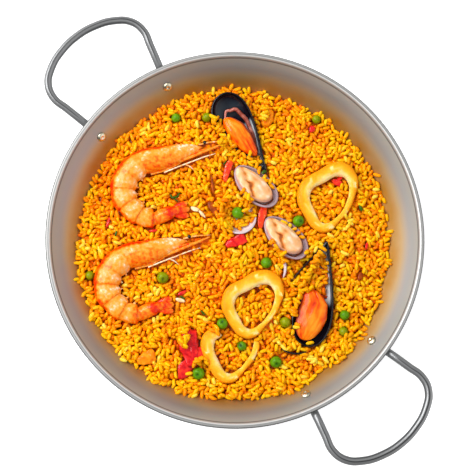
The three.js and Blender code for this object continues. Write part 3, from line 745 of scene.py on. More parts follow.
# How bright the room is from the horizon, at 0, to straight overhead, at 1.
SKY = ((0.0, 0.05), (0.25, 0.12), (0.5, 0.3), (0.8, 0.55), (1.0, 0.65))
DARKEST = 0.02                              # of all directions in the room
KEY_WATTS, KEY_SIZE = 13.5, 0.85
KEY_PLACE = (155, 50, 1.1)                  # bearing and elevation in degrees, distance in metres
KEY_AIM = Vector((0, 0, 0.02))
CAMERA_AIM = Vector((0.75 * MM, -0.64 * MM, 0))     # beside the middle of the rim, in the serving's layout


def build_floor():
    floor = new_object(bpy.ops.mesh.primitive_plane_add, size=8)
    floor.name = "floor"
    material, _, _ = new_material("matt_white_card", {
        "Roughness": 0.9, "Base Color": (0.9, 0.9, 0.9, 1), "Emission Color": (1, 1, 1, 1),
        "Emission Strength": 0.6})
    floor.data.materials.append(material)
    floor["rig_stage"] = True


def build_room():
    """A white studio whose light comes from its sides and from above."""
    world = bpy.data.worlds.new("white_studio")
    world.use_nodes = True
    sky = world.node_tree
    way = add_node(sky, "TexCoord").outputs["Generated"]
    upward = add_node(sky, "SeparateXYZ", links={"Vector": way}).outputs["Z"]
    glow = None
    for bearing, strength, narrow in ROOM_LIGHT:
        a = radians(bearing) + SERVING_TURN
        facing = add_node(sky, "VectorMath", {"operation": "DOT_PRODUCT"},
                          {1: (cos(a), sin(a), 0)}, {0: way})
        front = add_node(sky, "Math", {"operation": "MAXIMUM"}, {1: 0.0}, {0: facing.outputs["Value"]})
        lobe = add_node(sky, "Math", {"operation": "POWER"}, {1: narrow}, {0: front.outputs["Value"]})
        part = add_node(sky, "Math", {"operation": "MULTIPLY"}, {1: strength},
                        {0: lobe.outputs["Value"]})
        if glow:
            part = add_node(sky, "Math", {"operation": "ADD"},
                            links={0: part.outputs["Value"], 1: glow})
        glow = part.outputs["Value"]
    shade = add_node(sky, "ValToRGB", links={"Fac": upward},
                     stops=[(at, (grey, grey, grey, 1)) for at, grey in SKY])
    both = add_node(sky, "Math", {"operation": "ADD"}, links={0: glow, 1: shade.outputs["Color"]})
    room = add_node(sky, "Math", {"operation": "MAXIMUM"}, {1: DARKEST}, {0: both.outputs["Value"]})
    sky.links.new(room.outputs["Value"], sky.nodes["Background"].inputs["Color"])
    bpy.context.scene.world = world


def build_key_lamp():
    place = at_bearing(*KEY_PLACE)
    lamp = new_object(bpy.ops.object.light_add, type="AREA", location=place)
    lamp.name = "key"
    lamp.data.energy = KEY_WATTS
    lamp.data.size = KEY_SIZE
    lamp.rotation_euler = (KEY_AIM - place).to_track_quat("-Z", "Y").to_euler()


def build_camera():
    stage = bpy.context.scene.paella_stage
    pan = bpy.context.scene.paella_pan
    serving = Matrix.Rotation(SERVING_TURN, 3, "Z")
    away = Matrix.Rotation(stage.bearing + SERVING_TURN, 4, "Z") @ Matrix.Rotation(stage.tilt, 4, "Y")
    back = away.to_3x3() @ Vector((0, 0, 1))
    ahead = serving @ Vector((0, 1, 0))
    up = (ahead - ahead.dot(back) * back).normalized()
    right = up.cross(back)
    aim = serving @ CAMERA_AIM
    aim.z = pan.height - pan.bead
    camera = new_object(bpy.ops.object.camera_add)
    camera.name = "camera"
    camera.data.lens = stage.lens
    camera.data.sensor_width = 36
    camera.data.clip_start, camera.data.clip_end = 0.01, 20
    camera.matrix_world = Matrix.Translation(aim + back * stage.distance) @ Matrix(
        (right, up, back)).transposed().to_4x4()
    bpy.context.scene.camera = camera
    bpy.context.scene.view_settings.view_transform = "Standard"


def build_stage():
    build_floor()
    build_room()
    build_key_lamp()
    build_camera()


# ---------------------------------------------------------------- prawns

PRAWN_PLACES = ((-58, 42), (-69.2, -30.1))
PRAWN_RISE = 2.6                            # of the middle of a body over the rice
PRAWN_EYE, PRAWN_EYE_AT = 1.5, (34.6, 31.2, 2.9)    # its radius, and its place from that middle
# The middle line of a curled body, from the head to the tail, about the middle of the curl.
PRAWN_ROUTE = ((32, 28), (17, 23.5), (3, 19), (-16, 13.5), (-26.5, -3.5), (-21, -18), (-5, -26.5),
               (8, -22.2), (20, -18.6))
PRAWN_LENGTH = 123.0                        # of the straight body, which the lengths that follow lie on
PRAWN_STRETCH = 133.0 / PRAWN_LENGTH        # to the length of that line
PRAWN_HALF = 10.5                           # half the depth of its thickest part
PRAWN_HEAD = ((-1, 0.25), (0.5, 1.2), (5, 4.4), (14, 7.6), (26, 10.2), (36, 10.6), (41.5, 10.3),
              (42.6, 9.9))
PRAWN_PLATES = ((43, 56, 10.6), (56, 67, 10.6), (67, 78, 10.2), (78, 89, 9.2), (89, 99, 7.8),
                (99, 112, 5.6))             # each from, to and half the body's depth
PRAWN_TAIL = ((112.6, 4.4), (117, 3.6), (120, 2.6), (123, 0.8))
PRAWN_FLATNESS = 0.74                       # thickness lying down against its depth
# How a plate swells along its length: share of the length and of its depth. The step behind it is sharp.
PLATE_SWELL = ((0.02, 0.95), (0.14, 0.975), (0.4, 0.995), (0.72, 1.0), (0.93, 1.0), (0.975, 0.99))


def prawn_plate(along):
    """Number of a plate and how far along it a place is, from 0 to 1. The head is 0, the tail is 7."""
    for i, (start, end, _) in enumerate(PRAWN_PLATES, 1):
        if along < start:
            return i - 1, along / start
        if along <= end:
            return i, (along - start) / (end - start)
    return len(PRAWN_PLATES) + 1, (along - end) / (PRAWN_LENGTH - end)


def prawn_shade(p):
    """From 0, red, over orange to 1, cream, at a place on a straight prawn."""
    plate, share = prawn_plate(p.x)
    across = p.y / PRAWN_HALF
    if plate == 0:
        mouth = math.exp(-((p.x - 9) / 8) ** 2)
        # A painted highlight in a band along the head, towards its back.
        painted_ridge_highlight = math.exp(-((across + 0.45) / 0.25) ** 2)
        shade = 0.44 + 0.3 * mouth - 0.12 * across
        shade += 0.22 * painted_ridge_highlight
    else:
        middle = math.exp(-((share - 0.45) / 0.28) ** 2)
        seam = max(0.0, share - 0.85) / 0.15
        shade = 0.5 + 0.26 * middle + 0.12 * max(0.0, across) - 0.10 * seam
    back = clamp((-across - 0.62) / 0.2)
    tail = clamp((p.x - 90) / 22)
    shade -= 0.55 * back
    shade -= 0.5 * tail
    return clamp(shade)


def make_prawn_body():
    """A straight prawn along +X on its side, its back towards -Y, with a step behind each plate."""
    stations = [(x, half, half) for x, half in PRAWN_HEAD]
    for start, end, half in PRAWN_PLATES:
        span = end - start
        for share, swell in PLATE_SWELL:
            stations.append((start + span * share, half * swell, half * swell))
    stations += [(x, half, half) for x, half in PRAWN_TAIL]
    body = lofted(stations, 20)

    def shape(p):
        plate, share = prawn_plate(p.x)
        p.z *= PRAWN_FLATNESS
        if p.y > 0 and 1 <= plate <= 6:
            p.y *= 0.86 + 0.12 * sin(pi * share)
        elif p.y > 0:
            p.y *= 0.9
        return p

    reshape(body, shape)
    smooth(body, 1)
    return body


def make_leaf(size, place, turn):
    """A thin rounded flap."""
    leaf = ball(0.5, 12, 8)
    leaf.scale = size
    settle(leaf, pose(*place, turn=turn))
    return leaf


# The fan at the end of the tail: each flap's turn and how high it lies. They spread from one place.
TAIL_FAN = ((-32, 0.2), (-8, 0.9), (16, 0.0))
TAIL_FAN_AT, TAIL_FAN_OUT = 112, 6


def make_prawn():
    body = make_prawn_body()
    mark(body, "shade", prawn_shade)
    swimmerets = [make_leaf((6, 2.6, 2.4), ((start + end) / 2 + 1, half * 0.84, -0.6), 58)
                  for start, end, half in PRAWN_PLATES[:5]]
    for leaf in swimmerets:
        mark(leaf, "shade", lambda p: 0.74)
    fan = [make_leaf((15, 6.6, 2.2), (TAIL_FAN_AT + TAIL_FAN_OUT * cos(radians(turn)),
                                      TAIL_FAN_OUT * sin(radians(turn)), lift), turn)
           for turn, lift in TAIL_FAN]
    for leaf in fan:
        mark(leaf, "shade", lambda p: 0.06 + 0.5 * max(0.0, (p.x - 120) / 6))
    obj = join(body, *swimmerets, *fan)
    reshape(obj, lambda p: Vector((p.x * PRAWN_STRETCH, p.y, p.z)))
    bend(obj, PRAWN_ROUTE)
    return obj


# Feelers, legs and mouth parts beside a head, each with its radius and its shade.
PRAWN_LINES = (
    (0.55, 0.95, ((4, 8.2, 1.2), (14, 12.2, 2.6), (25, 16.4, 3.2), (34.5, 20.2, 2.8), (43, 22.9, 2.4))),
    (0.5, 0.95, ((20, 14.4, 2.6), (23.4, 12.8, 2.4), (26.6, 10.2, 1.6))),
    (1.15, 0.5, ((8, 13.6, 0.4), (18, 17.6, 1.6), (29, 22.2, 2.2), (39, 26.4, 2.4), (50, 31.2, 2.2))),
    (0.9, 0.3, ((14, 18.6, 1.0), (24, 22.2, 2.2), (34, 25.6, 2.6), (45, 27.4, 2.2))),
    (0.6, 0.8, ((30, 29.6, 2.8), (40, 31.6, 3.2), (51, 32.6, 2.4))),
    (0.8, 0.6, ((-6, 7.4, -0.5), (4, 9.8, 0.8), (16, 15.2, 1.6))),
)


def make_feelers():
    """Thin legs and feelers that run forward from under the head."""
    rods = []
    for radius, shade, line in PRAWN_LINES:
        obj = rod(line, radius, 2, [1.2, *[1.0] * (len(line) - 2), 0.35])
        mark(obj, "shade", lambda p, shade=shade: shade)
        rods.append(obj)
    return rods


def build_prawns():
    toppings = bpy.context.scene.paella_toppings
    shell = moist_food(
        "cooked_prawn_shell",
        [(0.0, "#e02400"), (0.22, "#f85a00"), (0.45, toppings.prawn),
         (0.7, "#ffa83c"), (0.86, "#ffb878"), (1.0, "#ffe8c4")],
        "shade", spot_mm=2.6, spread=1.25, rough=0.32, coat=0.45, bump_mm=0.6, soft=0.15)
    eye, _, _ = new_material(
        "prawn_eye_wet_black", {"Roughness": 0.1, "Base Color": hex_colour("#160b08")})
    for i, (x, y) in enumerate(PRAWN_PLACES, 1):
        z = rice_level(x, y) + PRAWN_RISE
        body = join(make_prawn(), *make_feelers())
        settle(body, IN_SERVING, pose(x, y, z))
        hand_over(body, f"prawn_{i}_shell", "prawn", [shell], f"prawn_{i}")
        eyeball = ball(PRAWN_EYE, 14, 10)
        dx, dy, dz = PRAWN_EYE_AT
        settle(eyeball, IN_SERVING, pose(x + dx, y + dy, z + dz))
        hand_over(eyeball, f"prawn_{i}_eye", "prawn", [eye])


# ---------------------------------------------------------------- shells and their meat

def shell_outline(p, size):
    """Takes a place in a unit bowl to a shell's outline, its hinge at -X and its mouth at z = 0."""
    u = max(-1.0, min(1.0, p.x))
    taper = size["taper"]
    wide = size["width"] / 2 * (1 - taper + taper * u) / (1 - taper * 0.55)
    bowed = size.get("bow", 0) * (1 - u * u)
    return Vector((p.x * size["length"] / 2, p.y * wide + bowed, p.z * size["depth"]))


GROWTH_RING, GROWTH_RINGS = 0.012, 26       # how far a ring stands out, and how close they lie


def make_valve(size, shade):
    """A thin bowl with growth rings, its shade stored by how deep and how far along a place is."""
    valve = ball(1, 44, 24)
    with editing(valve):
        bpy.ops.mesh.bisect(plane_co=(0, 0, 1e-4), plane_no=(0, 0, 1), clear_outer=True)
    reshape(valve, lambda p: p * (1 + GROWTH_RING * sin(GROWTH_RINGS * p.z)))
    mark(valve, "shade", lambda p: clamp(shade(-p.z, p.x)))
    reshape(valve, lambda p: shell_outline(p, size))
    modify(valve, "SOLIDIFY", thickness=size["wall"], offset=-1, use_even_offset=False)
    smooth(valve, 1)
    return valve


MANTLE_KNOTS, MANTLE_FRILLS, FRILL = 28, 9, 0.03
MUSSEL_MANTLE = (0.6, 0.44, 1.7)            # share of the shell's outline, depth in it, radius
CLAM_MANTLE = (0.8, 0.36, 0.7)


def make_mantle(size, share, depth, radius, start=0, end=360):
    """The frilled edge of the flesh inside the shell, from one direction round to another."""
    closed = end - start == 360
    spans = MANTLE_KNOTS if closed else MANTLE_KNOTS - 1
    points = []
    for k in range(MANTLE_KNOTS):
        a = radians(start + (end - start) * k / spans)
        frill = share * (1 + FRILL * sin(MANTLE_FRILLS * a))
        points.append(shell_outline(Vector((frill * cos(a), frill * sin(a), -depth)), size))
    radii = None if closed else [
        max(0.2, sin(pi * (k + 0.5) / MANTLE_KNOTS)) ** 0.5 for k in range(MANTLE_KNOTS)]
    return rod(points, radius, 2, radii, closed)


def make_meat(stations, pink_side, seed):
    """A plump lobe along +X between two uneven edges, pleated along its length, with a thin lip."""
    places = [x for x, *_ in stations]
    middles = [(low + high) / 2 for _, low, high, _ in stations]
    halves = [(high - low) / 2 for _, low, high, _ in stations]
    meat = lofted([(x, half, tall) for (x, _, _, tall), half in zip(stations, halves)], 26)
    smooth(meat, 1)

    def across(p):
        return p.y / max(0.5, float(np.interp(p.x, places, halves)))

    def streak(p):
        return wobble(Vector((p.x * 0.16, across(p) * 7, 0)), 1, seed)

    start, end = places[0], places[-1]
    # Darker and redder towards its start. Streaks of colour follow the pleats, lighter on their ridges and
    # darker in their grooves, which is painted highlight and shade, and it is lighter towards the top,
    # which is painted light.
    mark(meat, "shade", lambda p: clamp(
        0.22 + 0.42 * (p.x - start) / (end - start) + 0.6 * streak(p) + 0.05 * p.z))
    mark(meat, "lip", lambda p: clamp((pink_side * across(p) - 0.72) / 0.16))

    def pleat(p):
        moved = Vector((p.x, p.y + float(np.interp(p.x, places, middles)), p.z))
        moved.z += (0.7 * streak(p) + 0.3 * wobble(p, 2.2, seed)) * (p.z > 0)
        moved.y += 0.5 * wobble(Vector((p.x, 0, 0)), 3.5, seed + 2) * abs(across(p))
        return moved

    reshape(meat, pleat)
    return meat


# Each mussel's flesh is given along its shell: a place, its two edges and half its height there.
MUSSELS = (
    {"place": (5.5, 82), "rise": 4.2, "turn": 121, "roll": -9, "pitch": -4,
     "shell": {"length": 68, "width": 33, "depth": 11, "taper": 0.4, "bow": 1, "wall": 1.2},
     "flesh": ((-21, -0.9, 0.3, 0.6), (-18.5, -2.8, 4.2, 2.2), (-12, -4.4, 8.2, 3.8),
               (-4, -5.6, 10.8, 4.8), (5, -4.6, 11.2, 5), (11, -1.6, 10.4, 4.2), (15, 2, 9, 2.2),
               (16.5, 5, 7.6, 0.5)),
     "rise_in_shell": -1.2, "pink_side": -1, "mantle": (-165, 35)},
    {"place": (61.5, -41.5), "rise": 3.4, "turn": -101, "roll": 6, "pitch": 3,
     "shell": {"length": 81, "width": 34, "depth": 12, "taper": 0.4, "bow": -0.5, "wall": 1.2},
     "flesh": ((-3, -8.5, -1.5, 0.6), (-1, -10.6, 2.4, 2.2), (6, -11.4, 9.8, 3.6), (18, -12, 11, 4.2),
               (27, -12.2, 8.4, 3.8), (33, -9.6, 4.4, 2.6), (36.2, -5.4, -0.6, 0.6)),
     "rise_in_shell": -0.8, "pink_side": -1, "mantle": (-60, 70)},
)


def mussel_shade(deep, along):
    """0 is black and 1 mother of pearl, which lines the hinge's half."""
    lining = 0.9 * clamp((deep - 0.28) / 0.2) * clamp((0.22 - along) / 0.12)
    return 0.05 + lining + 0.2 * clamp((deep - 0.3) / 0.25) * clamp((along - 0.2) / 0.3)


def build_mussels():
    toppings = bpy.context.scene.paella_toppings
    shell = moist_food(
        "mussel_shell_wet_black",
        [(0.0, "#08070b"), (0.16, "#17131d"), (0.3, "#24303a"), (0.6, "#8b9aa6"), (1.0, "#dfe6e8")],
        "shade", spot_mm=7, spread=0.22, rough=0.16, coat=0.5, bump_mm=0.1)
    meat = moist_food(
        "cooked_mussel_meat",
        [(0.0, "#c42400"), (0.35, "#ee4c00"), (0.65, toppings.mussel_meat), (1.0, "#ff9a20")],
        "shade", spot_mm=4, spread=0.7, rough=0.28, coat=0.26, bump_mm=0.4, soft=0.06,
        edge=("lip", hex_colour("#a8402c")))
    mantle = moist_food(
        "cooked_mussel_mantle",
        [(0.0, "#4a1410"), (0.4, "#93402e"), (0.65, "#d08070"), (1.0, "#f0b8a8")],
        spot_mm=9, spread=1.3, rough=0.25, coat=0.6, soft=0.1)
    for i, mussel in enumerate(MUSSELS, 1):
        x, y = mussel["place"]
        z = rice_level(x, y) + mussel["rise"]
        at = pose(x, y, z, mussel["turn"], mussel["roll"], mussel["pitch"])
        valve = make_valve(mussel["shell"], mussel_shade)
        settle(valve, IN_SERVING, at)
        hand_over(valve, f"mussel_{i}_half_shell", "mussel_shell", [shell], f"mussel_{i}_shell")
        frill = make_mantle(mussel["shell"], *MUSSEL_MANTLE, *mussel["mantle"])
        settle(frill, IN_SERVING, at)
        hand_over(frill, f"mussel_{i}_mantle", "mussel_meat", [mantle])
        body = make_meat(mussel["flesh"], mussel["pink_side"], i)
        settle(body, IN_SERVING, at @ Matrix.Translation((0, 0, mussel["rise_in_shell"])))
        hand_over(body, f"mussel_{i}_flesh", "mussel_meat", [meat], f"mussel_{i}_meat")


CLAM_PLACES = ((15.6, 40.4), (38.1, 1.2))
CLAM_POSE = {"turn": -44, "roll": -22}
CLAM_RISE = 4.5
CLAM_VALVE = {"length": 41, "width": 27, "depth": 8.5, "taper": 0.1, "wall": 1.3}
CLAM_LOWER = {"length": 31, "width": 28, "depth": 8, "taper": 0.08, "wall": 1.3}
CLAM_MEAT_AT = (-1, -0.6, 0.6)              # in its valve
CLAM_LOWER_PLACE, CLAM_LOWER_RISE = (1.6, 18.2), 2.2
CLAM_LOWER_POSE = {"turn": -60, "roll": -8, "pitch": -9}
# The folds of the meat, from its hinge's side to the other, in a unit ball.
CLAM_FOLD = ((-0.86, 0.42), (-0.55, 0.16), (-0.28, -0.2), (0.02, -0.08), (0.02, -0.4), (0.3, -0.72))


def distance_to_line(x, y, line):
    """From a place to a line of straight runs, at most 9."""
    least = 9.0
    for (ax, ay), (bx, by) in pairwise(line):
        run = (bx - ax) ** 2 + (by - ay) ** 2
        t = clamp(((x - ax) * (bx - ax) + (y - ay) * (by - ay)) / run)
        least = min(least, math.hypot(x - ax - t * (bx - ax), y - ay - t * (by - ay)))
    return least


def make_clam_meat():
    meat = ball(1, 48, 32)

    def fold(p):
        return math.exp(-(distance_to_line(p.x, p.y, CLAM_FOLD) / 0.15) ** 2)

    # Painted shade: darker in the fold's crease and all over the underside, and lighter towards the top;
    # blotches of colour over it all.
    mark(meat, "shade", lambda p: clamp(
        0.62 - 0.5 * fold(p) - 0.3 * (p.z < 0) + 0.12 * p.z + 0.55 * wobble(p * 12, 4.5, 8)))
    mark(meat, "lip", lambda p: 0.8 * clamp((math.hypot(p.x, p.y) - 0.86) / 0.1) * clamp(
        (p.x - p.y + 0.6) / 0.8))
    reshape(meat, lambda p: Vector((
        p.x * 17.6 - 0.8, p.y * 9.7 * (1 + 0.12 * p.x) - 1.2 * (1 - p.x * p.x),
        p.z * 3.75 * (1 - 0.45 * fold(p) * (p.z > 0)) + 0.8 * wobble(p * 12, 4, 3))))
    return meat


def build_clams():
    toppings = bpy.context.scene.paella_toppings
    shell = moist_food(
        "clam_shell_lilac",
        [(0.0, "#7c6470"), (0.3, "#b0949c"), (0.6, "#ccb6bc"), (1.0, "#e6dce0")],
        "shade", spot_mm=4, spread=0.35, rough=0.3, coat=0.3, bump_mm=0.15)
    flesh = moist_food(
        "cooked_clam_meat",
        [(0.0, "#9a3c10"), (0.25, "#e08838"), (0.5, toppings.clam_meat),
         (0.8, "#fdc896"), (1.0, "#ffe6c6")],
        "shade", spot_mm=4, spread=0.4, rough=0.28, coat=0.35, bump_mm=0.3, soft=0.2,
        edge=("lip", hex_colour("#c08c80")))
    mantle = moist_food(
        "cooked_clam_mantle",
        [(0.0, "#4a1c12"), (0.6, "#8e4a30"), (1.0, "#c98a68")],
        spot_mm=5, spread=1.2, rough=0.3, coat=0.5)
    for i, (x, y) in enumerate(CLAM_PLACES, 1):
        at = pose(x, y, rice_level(x, y) + CLAM_RISE, **CLAM_POSE)
        valve = make_valve(CLAM_VALVE, lambda deep, along: 0.35 + 0.5 * deep)
        settle(valve, IN_SERVING, at)
        hand_over(valve, f"clam_{i}_upper_shell", "clam_shell", [shell], f"clam_{i}_valve")
        frill = make_mantle(CLAM_VALVE, *CLAM_MANTLE)
        settle(frill, IN_SERVING, at)
        hand_over(frill, f"clam_{i}_mantle", "clam_meat", [mantle])
        body = make_clam_meat()
        settle(body, IN_SERVING, at @ Matrix.Translation(CLAM_MEAT_AT))
        hand_over(body, f"clam_{i}_flesh", "clam_meat", [flesh], f"clam_{i}_meat")
    x, y = CLAM_LOWER_PLACE
    lower = make_valve(CLAM_LOWER, lambda deep, along: 0.8 + 0.2 * deep)
    settle(lower, IN_SERVING, pose(x, y, rice_level(x, y) + CLAM_LOWER_RISE, **CLAM_LOWER_POSE))
    hand_over(lower, "clam_1_lower_shell", "clam_shell", [shell], "clam_1_lower_valve")
    build_lips()
    build_thin_rims()


# Rims of half shells that are buried in the rice: about a middle, from one direction to another.
LIPS = (
    {"name": "clam_2_lower", "slot": "clam_shell", "material": "clam_shell_lilac", "shade": 0.8,
     "place": (23.4, -22.5), "radius": 15.6, "start": -28, "end": 40, "rise": 1.2, "thick": 2.4,
     "height": 5.5},
    {"name": "mussel_2_second", "slot": "mussel_shell", "material": "mussel_shell_wet_black", "shade": 0.1,
     "place": (46, -66.5), "radius": 20.5, "start": 236, "end": 292, "rise": 0.8, "thick": 1.8,
     "height": 5},
)
LIP_SWELL = (0.3, 0.7, 0.9, 1, 1, 1, 0.9, 0.7, 0.3)     # its thickness from end to end


# Thin edges of shells that stand out of the rice: the line that each follows.
THIN_RIMS = {
    "mussel_1_buried_rim": ((18.8, 66), (21.6, 60), (23.4, 53.5), (23.8, 48.5)),
    "mussel_2_buried_rim": ((69.2, -1.4), (64, -7.4), (56, -16.4), (48.4, -24.6), (42.6, -31.4)),
}
RIM_THIN, RIM_TALL, RIM_RISE = 0.65, 4.6, 0.7


def build_thin_rims():
    for name, line in THIN_RIMS.items():
        obj = rod([(x, y, 0) for x, y in line], RIM_THIN, 2, [0.6, *[1] * (len(line) - 2), 0.4])
        reshape(obj, lambda p: Vector((p.x, p.y, p.z * RIM_TALL + rice_level(p.x, p.y) + RIM_RISE)))
        mark(obj, "shade", lambda p: 0.1)
        settle(obj, IN_SERVING)
        hand_over(obj, name, "mussel_shell", [bpy.data.materials["mussel_shell_wet_black"]])


def build_lips():
    for lip in LIPS:
        x, y = lip["place"]
        middle = lip["radius"] - lip["thick"] / 2
        line = [(middle * cos(radians(a)), middle * sin(radians(a)), 0)
                for a in np.linspace(lip["start"], lip["end"], len(LIP_SWELL))]
        obj = rod(line, lip["thick"] / 2, 3, LIP_SWELL)
        reshape(obj, lambda p: Vector((p.x, p.y, p.z * lip["height"] / lip["thick"])))
        mark(obj, "shade", lambda p: lip["shade"])
        settle(obj, IN_SERVING, pose(x, y, rice_level(x, y) + lip["rise"]))
        hand_over(obj, f"{lip['name']}_rim", lip["slot"], [bpy.data.materials[lip["material"]]],
                  f"{lip['name']}_valve")


# ---------------------------------------------------------------- squid rings

# Place, rise over the rice, share of the full height in plan, and whether it is only part of a ring.
SQUID_PLACES = ((70.4, 32.1, 2.6, 1.0, False), (12.8, -49.4, 2.6, 0.93, False),
                (-2.4, -80.9, 1.8, 1.0, True))
# Both edges of the band, at knots that go round from the left over the top.
SQUID_OUTER = ((-22.6, 6.4), (-5.4, 21.5), (11.6, 27.6), (22, 18), (20.6, 0.9), (10.2, -16.8),
               (-3.5, -27.3), (-16.8, -16))
SQUID_INNER = ((-12.6, 4), (-2.4, 11), (9.6, 16.2), (15.6, 11.4), (14, -1.2), (5.2, -14.2),
               (-4.2, -18.8), (-10.6, -9.5))
SQUID_NARROW = (1.0, 0.95, 1.0, 0.95, 0.72, 0.66, 0.9, 1.0)     # share of its width that the band keeps
SQUID_SQUARE = 1.3                          # over 1, how much squarer than round its section is
SQUID_HEIGHT, SQUID_SWEPT = 7.0, 9.4        # thickness, and what it is before it is pressed to that
SQUID_UNEVEN = 0.45


def make_squid(part, tall, seed):
    """A cut ring of squid, or the lower part of one: a band with a squarish section."""
    outer, inner = (np.array(loop) for loop in (SQUID_OUTER, SQUID_INNER))
    middle = (outer + inner) / 2
    wide = np.hypot(*(outer - inner).T) / 2 * np.array(SQUID_NARROW)
    middle += (outer - middle) * (1 - wide / (np.hypot(*(outer - inner).T) / 2))[:, None]
    middle[:, 1] *= tall
    if part:
        kept = [4, 5, 6, 7, 0]
        first, last = middle[3] * 0.24 + middle[4] * 0.76, middle[0] * 0.44 + middle[1] * 0.56
        middle = np.array([first, *middle[kept], last])
        wide = np.array([wide[4] * 0.8, *wide[kept], wide[1] * 0.8])
    heart = middle.mean(axis=0)
    section = new_object(bpy.ops.curve.primitive_bezier_circle_add, radius=1)
    for knot in section.data.splines[0].bezier_points:
        knot.handle_left_type = knot.handle_right_type = "FREE"
        knot.handle_left = knot.co + (knot.handle_left - knot.co) * SQUID_SQUARE
        knot.handle_right = knot.co + (knot.handle_right - knot.co) * SQUID_SQUARE
    section.data.resolution_u = 5
    ring = path([(*p, 0) for p in middle], closed=not part, radii=list(wide))
    ring.data.bevel_mode = "OBJECT"
    ring.data.bevel_object = section
    ring.data.use_fill_caps = part
    select_only(ring)
    bpy.ops.object.convert(target="MESH")
    obj = bpy.context.object
    bpy.data.objects.remove(section)
    line = [tuple(p) for p in (middle if part else [*middle, middle[0]])]

    def from_heart(x, y):
        return math.hypot(x - heart[0], y - heart[1])

    def inward(p):
        """Distance from the band's middle line, positive towards the ring's hole."""
        near = min(line, key=lambda q: math.hypot(p.x - q[0], p.y - q[1]))
        side = 1 if from_heart(p.x, p.y) < from_heart(*near) else -1
        return side * distance_to_line(p.x, p.y, line)

    # Paler towards the ring's hole, a painted highlight along the inner edge, and lighter towards the top,
    # which is painted light.
    mark(obj, "shade", lambda p: clamp(0.4 + 0.15 * inward(p) + 0.04 * p.z))
    reshape(obj, lambda p: Vector((p.x, p.y, p.z * SQUID_HEIGHT / SQUID_SWEPT)) + SQUID_UNEVEN * Vector((
        wobble(p, 7, seed), wobble(p, 7, seed + 1), wobble(p, 4, seed + 2))))
    return obj


def build_squid():
    toppings = bpy.context.scene.paella_toppings
    flesh = moist_food(
        "cooked_squid_stained_yellow",
        [(0.0, "#f89c0c"), (0.35, "#ffb31c"), (0.65, toppings.squid), (1.0, "#ffe29c")],
        "shade", spot_mm=5, spread=0.6, rough=0.5, coat=0.05, bump_mm=0.4, soft=0.4)
    for i, (x, y, rise, tall, part) in enumerate(SQUID_PLACES, 1):
        obj = make_squid(part, tall, 5 * i)
        settle(obj, IN_SERVING, pose(x, y, rice_level(x, y) + rise))
        hand_over(obj, f"squid_band_{i}", "squid", [flesh], f"squid_ring_{i}", sharp=60)


# ---------------------------------------------------------------- peas, pepper and fish

def node_middle(name):
    """Middle of a solid in the frame, and its size along each axis, in millimetres."""
    low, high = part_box(name)
    return (low + high) / 2 / MM, (high - low) / MM


DIMPLED = ("pea_3", "pea_6", "pea_7", "pea_8", "olive_pea_2", "pea_5")
DIMPLE_AT, DIMPLE_WIDE, DIMPLE_DEEP = Vector((-1.0, -1.1)), 1.7, 1.2


def build_peas():
    toppings = bpy.context.scene.paella_toppings
    kinds = {
        "pea": [(0.0, "#143c00"), (0.5, toppings.pea), (1.0, "#8eb414")],
        "olive_pea": [(0.0, "#4c5800"), (0.5, "#889400"), (1.0, "#bcb41c")],
    }
    for slot, stops in kinds.items():
        skin = moist_food(f"{slot}_skin_cooked", stops, "shade", spot_mm=3, spread=0.95, rough=0.4,
                          coat=0.15, bump_mm=0.3, soft=0.1)
        names = sorted(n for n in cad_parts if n.startswith(f"{slot}_"))
        for i, name in enumerate(names, 1):
            middle, extent = node_middle(name)
            pea = ball(extent.z / 2, 22, 14)

            def dimple(p, name=name):
                if name not in DIMPLED or p.z < 0:
                    return 0.0
                return math.exp(-((p.xy - DIMPLE_AT).length / DIMPLE_WIDE) ** 2)

            def wrinkle(p, i=i):
                swell = 0.99 + 0.035 * wobble(p, 2.2, i)
                return p * swell - p.normalized() * DIMPLE_DEEP * dimple(p)

            # Darker in the dimple: painted shade in the dent.
            mark(pea, "shade", lambda p: 0.5 - 0.5 * dimple(p))
            reshape(pea, wrinkle)
            pea.rotation_euler = (0, 0, i) if name in DIMPLED else (0.3 * i, 0.2 * i, i)
            settle(pea, IN_FRAME, Matrix.Translation(middle))
            hand_over(pea, f"{name}_skin", slot, [skin], name)


# Turn in the serving, size, how far each is bowed sideways and creased, and its shade, 0 the darkest.
PEPPERS = (
    {"turn": 98, "size": (26, 13, 9), "bow": 1.5, "folds": 1.6, "shade": 0.26},
    {"turn": 74, "size": (17, 5, 5), "bow": 0.6, "folds": 0.4, "shade": 0.6},
    {"turn": 80, "size": (17, 6, 5), "bow": 0.6, "folds": 0.4, "shade": 0.6},
    {"turn": 24, "size": (16, 8, 6), "bow": 0.4, "folds": 0.8, "shade": 0.36},
    {"turn": -24, "size": (8, 4.4, 4), "bow": 0, "folds": 0.3, "shade": 0.5},
)
FISH = ({"turn": 80, "size": (13, 9, 8), "bow": 0, "folds": 0.9},
        {"turn": 20, "size": (14, 10, 8), "bow": 0, "folds": 0.9})


def make_chunk(size, bow, folds, seed):
    """A soft-edged block along +X, bowed sideways and creased."""
    chunk = new_object(bpy.ops.mesh.primitive_cube_add, size=1)
    with editing(chunk):
        bpy.ops.transform.resize(value=size)
        bpy.ops.mesh.subdivide(number_cuts=2)
    smooth(chunk, 2)
    half = size[0] / 2

    def crease(p):
        p.y *= 1 - 0.3 * (p.x / half) ** 2 + 0.2 * p.x / half
        p.z *= 0.8
        lumps = 1.5 * folds * wobble(p, 4.5, seed) + 0.7 * folds * wobble(p, 2.2, seed + 2)
        return Vector((p.x, p.y + bow * (1 - (p.x / half) ** 2), p.z)) + p.normalized() * lumps

    reshape(chunk, crease)
    return chunk


